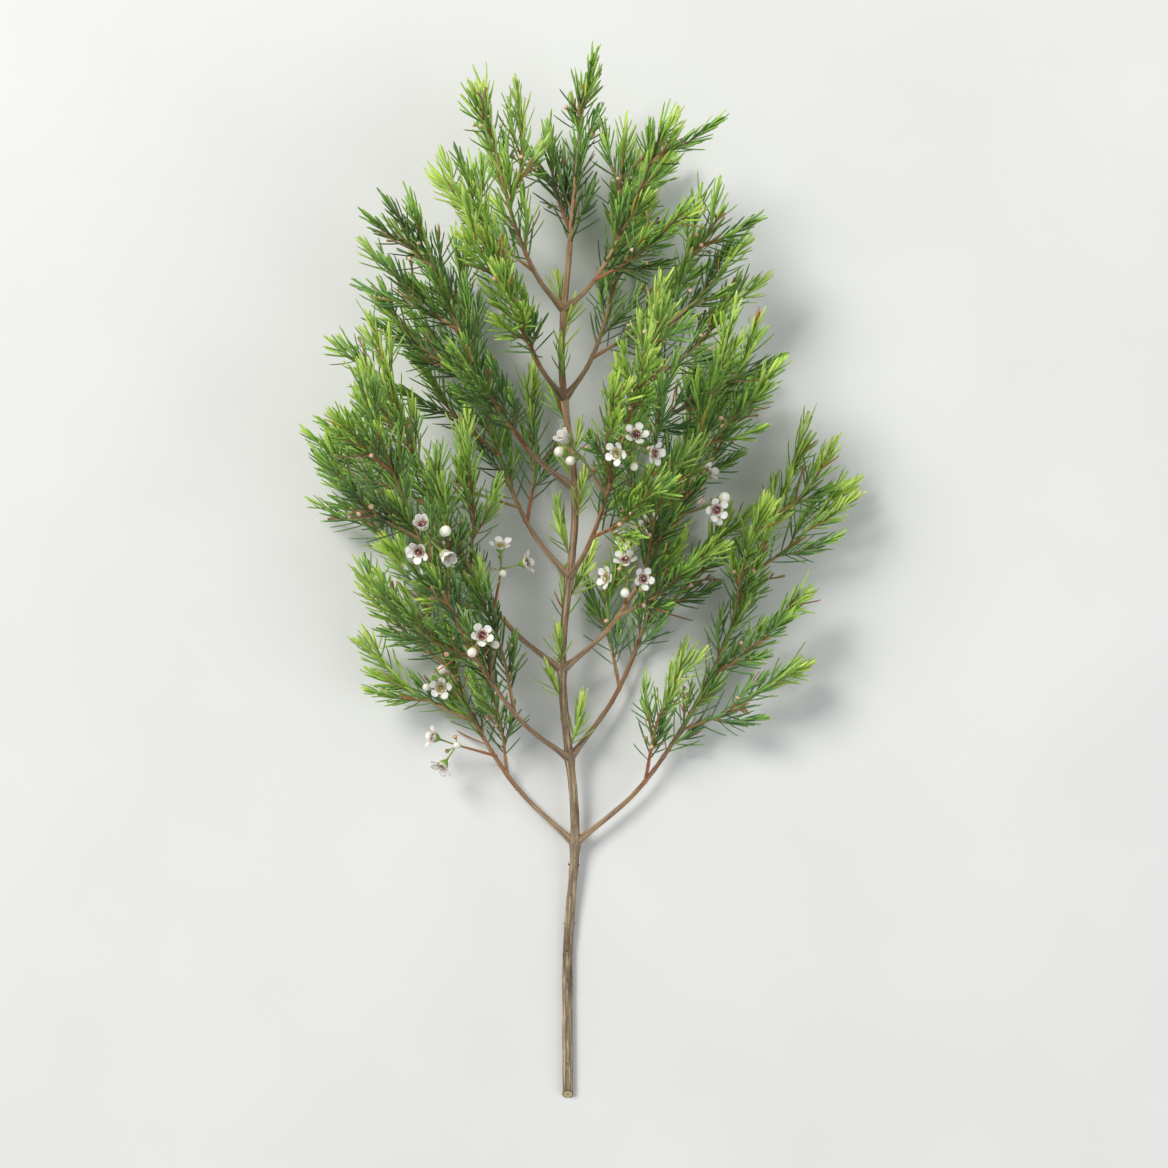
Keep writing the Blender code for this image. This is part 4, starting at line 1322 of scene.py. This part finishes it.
# %% Petals and sepals
PETAL_RINGS = 4
PETAL_AROUND = 18
PETAL_THICKNESS = 0.00024
PETAL_SET_IN = 0.0003
PETAL_CURL = 0.00055
PETAL_TIP_CURL = 0.00040
PETAL_SHUT_CURL = 2.2
PETAL_RUFFLE = 0.00013
PETAL_PHASE = 2.1
CLAW_SHARE = 0.50
CLAW_END = 0.34
SEPAL_LENGTH = 0.0016
SEPAL_WIDTH = 0.0019
SEPAL_SET_IN = 0.0002
SEPAL_OPENING = 0.40
SEPAL_CURL = 0.6
SEPAL_PHASE = 1.3


def blade(base, lean, length, width, curl, phase, lift=0.0):
    """A round petal that leaves the cup's rim and leans out, with its claw at the rim."""
    along = Vector((lean[0], 0.0, lean[1]))
    normal = along.cross(Y)
    corners, runs, sides = [], [], []

    def corner(share, angle, skin):
        u = 0.5 + 0.5 * share * math.cos(angle)
        grown = clamped(u / CLAW_END)
        v = 0.5 * share * math.sin(angle) * between(CLAW_SHARE, 1.0, grown * grown * (3 - 2 * grown))
        ruffle = math.sin(3 * angle + phase) + 0.6 * math.sin(5 * angle - 2 * phase)
        rise = curl * (PETAL_CURL * 4 * v * v + PETAL_TIP_CURL * u * u) + PETAL_RUFFLE * share ** 2 * ruffle
        rise += skin * PETAL_THICKNESS / 2 * (1 - share ** 3)
        corners.append(X * base + along * (u * length) + Y * (v * width) + normal * rise + Z * (lift * u))
        runs.append(u)
        sides.append(v + 0.5)
        return len(corners) - 1

    faces = []
    angles = angles_round(PETAL_AROUND)
    rim = [corner(1.0, angle, 0) for angle in angles]
    for skin in (1, -1):
        rings = [[corner(0.0, 0.0, skin)]]
        rings += [[corner(r / PETAL_RINGS, angle, skin) for angle in angles] for r in range(1, PETAL_RINGS)]
        faces += bands([ring[::skin] for ring in [*rings, rim]], flip=True)
    return new_mesh("blade", corners, faces, along=runs, across=sides)


petal_sets = {}
for opening in sorted(set(BLOOM_OPENINGS)):
    lean = petal_lean(opening)
    curl = 1.0 + PETAL_SHUT_CURL * (1.0 - opening)
    petal_sets[opening] = gathered("petal_%02d" % round(100 * opening), [
        blade(CUP_RADIUS - PETAL_SET_IN, lean, PETAL_LENGTH, PETAL_WIDTH, curl, PETAL_PHASE * i, PETAL_LIFT)
        for i in range(SHAPE_COUNT)])
sepal_set = gathered("sepal", [
    blade(CUP_RADIUS - SEPAL_SET_IN, petal_lean(SEPAL_OPENING), SEPAL_LENGTH, SEPAL_WIDTH, SEPAL_CURL,
          SEPAL_PHASE * i)
    for i in range(SHAPE_COUNT)])

# %% Turned shapes
def turned(profile, sides, finish=None, ribs=None, run_end=1.0):
    """A closed shape turned round +Z through stations: a radius, a height and, if need be, a shift on X."""
    corners, runs, turns = [], [], []
    low = profile[0][1]
    high = max(station[1] for station in profile)
    for radius, height, *shift in profile:
        for angle in angles_round(sides):
            rib, across = ribs(angle, height) if ribs else (1.0, 0.0)
            out = radius * rib
            corners.append((sum(shift) + out * math.cos(angle), out * math.sin(angle), height))
            runs.append(run_end * (height - low) / (high - low))
            turns.append(across)
    rings = [list(range(first, first + sides)) for first in range(0, len(corners), sides)]
    faces = [*bands(rings), rings[0][::-1], rings[-1]]
    return new_mesh("turned", corners, faces, finish=finish, along=runs, across=turns)


def placed(mesh, matrix):
    """The mesh moved to its place on the laid stem."""
    mesh.transform(Matrix.Translation(-FOOTPRINT_MIDDLE) @ matrix)
    return mesh


def joined(name, meshes):
    """One mesh from several, with all their finishes."""
    parts = [bpy.data.objects.new(name, mesh) for mesh in meshes]
    for part in parts:
        scene.collection.objects.link(part)
    with bpy.context.temp_override(active_object=parts[0], object=parts[0],
                                   selected_objects=parts, selected_editable_objects=parts):
        bpy.ops.object.join()
    made = parts[0].data
    bpy.data.objects.remove(parts[0])
    return made


print("helpers:", turned.__name__, placed.__name__, joined.__name__)

# %% [markdown]
# The finishes of a flower: petals and the small sepals are waxy white with faint veins that fan out from the
# claw, cups are glossy green with oil dots and a cream rim, and the nectar disc looks wet, burgundy in an
# older bloom and olive in a young one.

# %% Flower finishes
def build_petal():
    petal = Finish("white_petal", Sheen_Weight=0.15, Sheen_Roughness=0.5)
    clouds = petal.effect(MOTTLING, 420.0)
    crinkle = petal.effect(MOTTLING, 2400.0)
    along = petal.from_mesh("along")
    side = petal.worked("SUBTRACT", petal.from_mesh("across"), 0.5)
    fan = petal.worked("DIVIDE", side, petal.worked("ADD", along, 0.25))
    veins = petal.limited(petal.worked("SINE", petal.worked("MULTIPLY", fan, 60.0)), 0.55, 1.0)
    colour = petal.ramp(along, (0.0, 208, 206, 168), (0.16, 226, 223, 208), (0.5, 234, 233, 228),
                        (1.0, 230, 228, 222))
    colour = petal.tinted(colour, (216, 212, 208), clouds, (0.0, 0.40))
    colour = petal.tinted(colour, (200, 198, 190), veins, (0.0, 0.16))
    height = petal.worked("ADD", petal.worked("MULTIPLY", veins, 0.3), petal.worked("MULTIPLY", crinkle, 0.5))
    return petal.done(colour, clouds, (0.42, 0.58), height, 0.00005, 0.5)


def build_cup():
    cup = Finish("green_cup", Coat_Weight=0.15, Coat_Roughness=0.3)
    clouds = cup.effect(MOTTLING, 260.0)
    dots = cup.effect(OIL_DOTS, 1900.0)
    colour = cup.ramp(cup.from_mesh("along"), (0.0, 150, 158, 88), (0.62, 138, 164, 82), (0.74, 112, 150, 66),
                      (0.93, 140, 168, 84), (0.975, 206, 208, 160), (1.0, 228, 224, 200))
    colour = cup.tinted(colour, (170, 120, 86), clouds, (0.0, 0.35), (0.3, 1.0))
    colour = cup.tinted(colour, (74, 104, 42), dots, (0.0, 0.45))
    return cup.done(colour, clouds, (0.34, 0.50), dots, 0.00008, 0.7)


def build_disc(name, rim, middle, deep):
    """A wet nectar disc: a paler rim, a darker floor and fine radial folds."""
    disc = Finish(name, Coat_Weight=0.5, Coat_Roughness=0.15)
    clouds = disc.effect(MOTTLING, 1100.0)
    colour = disc.ramp(disc.from_mesh("along"), (0.0, *deep), (0.45, *deep), (0.75, *middle), (1.0, *rim))
    colour = disc.tinted(colour, middle, clouds, (0.0, 0.35))
    return disc.done(colour, clouds, (0.22, 0.38), clouds, 0.00006, 0.5)


def build_bud():
    """Folded petals: seams where they overlap, and a colour that runs from the cup to the tip."""
    bud = Finish("white_bud", Sheen_Weight=0.1, Sheen_Roughness=0.5)
    clouds = bud.effect(MOTTLING, 500.0)
    colour = bud.ramp(bud.from_mesh("along"), (0.0, 204, 208, 152), (0.22, 230, 229, 212),
                      (0.7, 238, 237, 230), (1.0, 234, 222, 212))
    colour = bud.tinted(colour, (184, 180, 156), bud.from_mesh("across"), (0.55, 0.0), (0.0, 0.30))
    colour = bud.tinted(colour, (204, 208, 152), clouds, (0.0, 0.30))
    return bud.done(colour, clouds, (0.38, 0.55), clouds, 0.00005, 0.4)


def build_young():
    """A young bud: green below, then cream in some places and a warm pink in others."""
    young = Finish("young_bud", Coat_Weight=0.1, Coat_Roughness=0.3)
    clouds = young.effect(MOTTLING, 48.0)
    fine = young.effect(MOTTLING, 900.0)
    along = young.from_mesh("along")
    green = young.ramp(along, (0.0, 168, 138, 84), (0.5, 150, 168, 88), (0.82, 126, 158, 74))
    ripe = young.blended(clouds, (228, 216, 186), (220, 150, 124))
    colour = young.tinted(green, ripe, along, (0.0, 1.0), (0.80, 0.86))
    colour = young.tinted(colour, (176, 124, 92), fine, (0.0, 0.30))
    return young.done(colour, fine, (0.38, 0.55), fine, 0.00005, 0.4)


def build_stamen(name, pale, dark):
    stamen = Finish(name)
    clouds = stamen.effect(MOTTLING, 1500.0)
    colour = stamen.ramp(clouds, (0.0, *pale), (1.0, *dark))
    return stamen.done(colour, clouds, (0.45, 0.65), clouds, 0.00003, 0.4)


PETAL = build_petal()
CUP = build_cup()
DISC_RED = build_disc("nectar_red", (150, 48, 58), (104, 22, 36), (62, 12, 22))
DISC_OLIVE = build_disc("nectar_olive", (186, 178, 98), (142, 134, 62), (98, 92, 40))
BUD = build_bud()
YOUNG = build_young()
FILAMENT = build_stamen("filament", (228, 222, 208), (206, 180, 166))
ANTHER = build_stamen("anther", (230, 212, 168), (188, 148, 100))
print("flower finishes:", PETAL.name, CUP.name, DISC_RED.name, DISC_OLIVE.name, BUD.name, YOUNG.name,
      FILAMENT.name, ANTHER.name)

# %% [markdown]
# The cup and its pedicel are one turned shape, like the stem and the bowl of a wine glass, with ten low ribs.
# Buds are turned too: their radius dips along five slanting seams, where the folded petals overlap.

# %% Cups, buds and stamens
FLOWER_SIDES = 30
RIB_COUNT = 10
RIB_HEIGHT = 0.035
SEAM_DEPTH = 0.07
SEAM_TWIST = 0.8
BUD_WALL = 0.86
STAMEN_COUNT = 20
ANTHER_COUNT = 10
STAMEN_SPREADS = (0.04, 0.03)
STAMEN_STEP = 0.0001
STYLE_SIDES = 8
BUD_PROFILE = ((0.50, -0.30), (0.78, -0.10), (0.95, 0.18), (1.00, 0.52), (0.96, 0.86), (0.82, 1.15),
               (0.60, 1.38), (0.32, 1.53), (0.08, 1.60))
STYLE = ((0.00018, -0.0006), (0.00015, 0.0004), (0.00013, 0.0016), (0.00020, 0.0021), (0.00026, 0.00225),
         (0.00016, 0.0024))


def cup_ribs(angle, height):
    """Ribs on the cup alone, which fade towards its rim and its neck."""
    fade = math.sin(math.pi * clamped(-height / CUP_HEIGHT))
    return 1 + RIB_HEIGHT * fade * math.cos(RIB_COUNT * angle), 0.5


def bloom_cup(pedicel):
    """The pedicel and the cup of a bloom, with the cup's wall and its sunk floor."""
    foot = -CUP_HEIGHT - pedicel
    neck = [(0.00052, foot), (0.00046, foot + 0.3 * pedicel), (0.00048, foot + 0.7 * pedicel),
            (0.00062, -CUP_HEIGHT - 0.0008), (0.00088, -0.95 * CUP_HEIGHT)]
    bowl = [(0.52, -0.82), (0.76, -0.62), (0.92, -0.40), (1.00, -0.18), (1.02, -0.03), (0.97, 0.02),
            (0.90, -0.04), (0.85, -0.17), (0.45, -0.21)]
    bowl = [(radius * CUP_RADIUS, height * CUP_HEIGHT) for radius, height in bowl]
    return turned(neck + bowl, FLOWER_SIDES, CUP, cup_ribs)


def bud_cup(pedicel, size):
    """The pedicel and the cup of a bud, which holds the folded petals by their lower third."""
    foot = -CUP_HEIGHT - pedicel
    wide = BUD_WALL * size
    neck = [(0.00050, foot), (0.00044, foot + 0.4 * pedicel), (0.00060, -CUP_HEIGHT - 0.0006),
            (0.00088, -0.93 * CUP_HEIGHT)]
    bowl = [(0.52 * wide, -0.74 * CUP_HEIGHT), (0.80 * wide, -0.50 * CUP_HEIGHT),
            (0.97 * wide, -0.24 * CUP_HEIGHT), (1.05 * wide, 0.0), (0.98 * wide, 0.10 * size),
            (0.6 * wide, 0.0)]
    return turned(neck + bowl, FLOWER_SIDES, CUP, cup_ribs)


def bud_ball(size):
    """The folded petals of a bud, with five slanting seams."""
    def seams(angle, height):
        across = abs(math.sin(2.5 * (angle + SEAM_TWIST * height / size)))
        return 1 - SEAM_DEPTH * (1 - across) ** 2, across

    profile = [(radius * size, height * size) for radius, height in BUD_PROFILE]
    return turned(profile, FLOWER_SIDES, BUD, seams)


filament_set = gathered("filament", [
    turned([(0.00016, -0.0002, 0.00240), (0.00013, 0.0004, 0.00252), (0.00010, 0.0009, 0.00250),
            (0.00008, 0.0012, 0.00232 - STAMEN_STEP * i)], 5)
    for i in range(SHAPE_COUNT)])
anther_set = gathered("anther", [
    turned([(radius, height, 0.00226 - STAMEN_STEP * i) for radius, height in (
        (0.00012, 0.00108), (0.00024, 0.00120), (0.00024, 0.00136), (0.00010, 0.00148))], 6)
    for i in range(SHAPE_COUNT)])


def bloom_parts(flower, seed):
    """All the finer meshes of one bloom but its nectar disc, upright at the origin."""
    first = math.pi / PETAL_COUNT
    return [
        bloom_cup(flower.pedicel),
        ring_of(petal_sets[flower.opening], PETAL_COUNT, first, PETAL, seed),
        ring_of(sepal_set, PETAL_COUNT, 0.0, PETAL, seed),
        ring_of(filament_set, STAMEN_COUNT, first / 2, FILAMENT, seed, *STAMEN_SPREADS),
        ring_of(anther_set, ANTHER_COUNT, first / 2, ANTHER, seed, *STAMEN_SPREADS),
        turned(STYLE, STYLE_SIDES, FILAMENT)]


def bud_parts(flower):
    return [bud_cup(flower.pedicel, flower.size), bud_ball(flower.size)]


print("stamens in a bloom:", STAMEN_COUNT, "with anthers:", ANTHER_COUNT)

# %% [markdown]
# Next year's flowers are already there as tiny buds on thin stalks, in the axils of the side shoots and round
# the open heads. They are set by the same tree as the leaves, because it only needs a place, a way to face, a
# length and a shape that is one unit long.

# %% Young buds
YOUNG_SIDES = 12
YOUNG_PROFILE = ((0.00036, 0.0), (0.00030, 0.30), (0.00034, 0.58), (0.00060, 0.68), (0.00100, 0.77),
                 (0.00120, 0.83), (0.00128, 0.88), (0.00116, 0.94), (0.00070, 0.985), (0.00016, 1.0))
YOUNG_LENGTHS = (0.0062, 0.0100)
YOUNG_SIZES = {"Narrowest": 0.75, "Widest": 1.15}
YOUNG_SPREAD = math.radians(52)
YOUNG_SPREAD_SHAKE = 0.2
YOUNG_TURN_SHAKE = 0.4
YOUNG_PER_CLUSTER = (2, 4)
YOUNG_PER_HEAD = 3
YOUNG_CHECKS = (0.7, 0.85, 1.0)
YOUNG_CLEARANCE = 0.0022
YOUNG_ON_SHOOTS = (0.22, 0.50)
CLUSTER_CHANCE = 0.62

young_shapes = gathered("young_bud", [turned(YOUNG_PROFILE, YOUNG_SIDES, YOUNG) for _ in range(SHAPE_COUNT)])


def young_cluster(sites, start, heading, count, dice):
    """A few young buds that leave one point, where there is room for them."""
    for i in range(count):
        around = 2 * math.pi * i / count + dice.uniform(-YOUNG_TURN_SHAKE, YOUNG_TURN_SHAKE)
        spread = YOUNG_SPREAD + dice.uniform(-YOUNG_SPREAD_SHAKE, YOUNG_SPREAD_SHAKE)
        away = perpendicular(heading, around)
        direction = splayed(heading, away, spread)
        length = dice.uniform(*YOUNG_LENGTHS)
        checks = [start + direction * (length * share) for share in YOUNG_CHECKS]
        if flowers_only.room(checks) >= YOUNG_CLEARANCE and checks[-1].z >= YOUNG_CLEARANCE:
            sites.add(start, direction, away, length)


def set_young_buds(name, sites, seed):
    """The young buds as one piece."""
    made = run_tree(LEAVES, sites.mesh(),
                    {**YOUNG_SIZES, "Shapes": young_shapes, "Seed": seed, "Finish": YOUNG})
    add_piece(name, made, "petal")
    return len(sites.rows)


young_count = 0
for number, spray in enumerate(sprays):
    sites = Sites()
    for shoot in side_shoots[spray.owner]:
        if dice.random() < CLUSTER_CHANCE:
            start, heading = shoot.at(dice.uniform(*YOUNG_ON_SHOOTS))
            young_cluster(sites, start, heading, dice.randint(*YOUNG_PER_CLUSTER), dice)
    if sites.rows:
        young_count += set_young_buds(spray.owner + "_young_buds", sites, SEED + number)
sites = Sites()
for head in heads:
    middle = head.hub_end - head.heading * HUB_LENGTH / 2
    young_cluster(sites, middle, head.heading, YOUNG_PER_HEAD, dice)
young_count += set_young_buds("flower_heads_young_buds", sites, SEED)
print("young buds:", young_count)

# %% [markdown]
# A flower head is a short hub at the end of its stalk, with the pedicels of its flowers round it. All parts
# of a head are joined into one piece, because the head is one growth and one solid.

# %% Flower heads
HUB_SIDES = 12
HUB_RUN_END = 0.6
HUB_PROFILE = ((0.00058, -0.0012), (0.00074, 0.0), (0.00105, 0.0012), (0.00112, 0.0024), (0.00085, 0.0034))


def along_z(place, direction):
    """A matrix that stands +Z along a direction at a place."""
    return Matrix.Translation(place) @ direction.to_track_quat("Z", "Y").to_matrix().to_4x4()


flower_faces = 0
for number, head in enumerate(heads):
    hub = turned(HUB_PROFILE, HUB_SIDES, CUP, run_end=HUB_RUN_END)
    parts = [placed(hub, along_z(head.seat, head.heading))]
    for i, flower in enumerate(head.flowers):
        made = bud_parts(flower) if flower.opening is None else bloom_parts(flower, SEED + 10 * number + i)
        parts += [placed(mesh, flower.matrix) for mesh in made]
    flower_faces += add_piece(head.name + "_flowers", joined(head.name, parts), "petal", head.name)
print("faces in flower heads:", flower_faces)

# %% [markdown]
# The nectar disc sits in the cup like a shallow dish with a raised rim, and it is wet, so it has a clear
# coat. It is a solid of its own in the part, because its colour is another one: it turns from olive to
# burgundy with age.

# %% Nectar discs
DISC_PROFILE = ((0.00150, -0.00085), (0.00205, -0.00066), (0.00226, -0.00022), (0.00224, 0.00010),
                (0.00206, 0.00026), (0.00184, 0.00016), (0.00150, -0.00016), (0.00100, -0.00038),
                (0.00050, -0.00044), (0.00030, -0.00036))
DISC_FOLDS = 10
DISC_FOLD_DEPTH = 0.03
OLIVE_EVERY = 3


def disc_folds(angle, height):
    return 1 + DISC_FOLD_DEPTH * math.cos(DISC_FOLDS * angle), 0.5


for number, flower in enumerate(open_blooms, 1):
    olive = number % OLIVE_EVERY == 0
    disc = turned(DISC_PROFILE, FLOWER_SIDES, DISC_OLIVE if olive else DISC_RED, disc_folds)
    node = f"nectar_disc_{number:02d}"
    slot = "nectar_disc_olive" if olive else "nectar_disc_red"
    add_piece(node + "_wet", placed(disc, flower.matrix), slot, node)
print("nectar discs:", len(open_blooms))

# %% [markdown]
# The stem is looked at from straight above, with its tip up, as it lies on the table. A long lens keeps the
# parts that stand up from growing too large.

# %% The camera
VIEW_HEIGHT = 1.50
VIEW_LENS = 85.0
VIEW_CENTRE = (0.0, 0.0)

camera_data = bpy.data.cameras.new("camera")
camera_data.lens = VIEW_LENS
camera = bpy.data.objects.new("camera", camera_data)
camera.location = (*VIEW_CENTRE, VIEW_HEIGHT)
scene.collection.objects.link(camera)
scene.camera = camera
print("camera height, m:", VIEW_HEIGHT)

# %% [markdown]
# A pale table and a bright, even sky make soft shadows, as in a studio. One larger light from the upper left
# gives the leaves a lit side, and a weak one fills the other side.

# %% The table and the light
FLOOR_SIDE = 30.0
FLOOR_DROP = 0.0002
SKY_COLOUR = (0.95, 0.97, 1.0, 1.0)
SKY_STRENGTH = 0.44


def build_floor():
    """The table top, with its own finish."""
    table = Finish("pale_table", Specular_IOR_Level=0.2)
    clouds = table.effect(MOTTLING, 6.0)
    grain = table.effect(MOTTLING, 900.0)
    colour = table.ramp(clouds, (0.0, 214, 215, 213), (1.0, 220, 221, 219))
    finish = table.done(colour, grain, (0.55, 0.7), grain, 0.00002, 0.3)
    half = FLOOR_SIDE / 2
    corners = [(x, y, -FLOOR_DROP) for x, y in ((-half, -half), (half, -half), (half, half), (-half, half))]
    top = bpy.data.objects.new("table_top", new_mesh("table_top", corners, [(0, 1, 2, 3)], finish=finish))
    scene.collection.objects.link(top)


def add_light(name, place, side, power, colour):
    """A soft square light that looks at the middle of the stem."""
    data = bpy.data.lights.new(name, "AREA")
    data.size = side
    data.energy = power
    data.color = colour
    light = bpy.data.objects.new(name, data)
    light.location = place
    light.rotation_euler = (-Vector(place)).to_track_quat("-Z", "Y").to_euler()
    scene.collection.objects.link(light)


build_floor()
add_light("key", (-2.0, 2.0, 2.9), 1.5, 150.0, (1.0, 0.98, 0.94))
add_light("fill", (2.6, -0.6, 2.4), 2.6, 38.0, (0.95, 0.98, 1.0))
world = bpy.data.worlds.new("studio")
world.use_nodes = True
sky = world.node_tree.nodes["Background"].inputs
sky["Color"].default_value = SKY_COLOUR
sky["Strength"].default_value = SKY_STRENGTH
scene.world = world
scene.view_settings.view_transform = "Standard"
print("lights: key and fill")
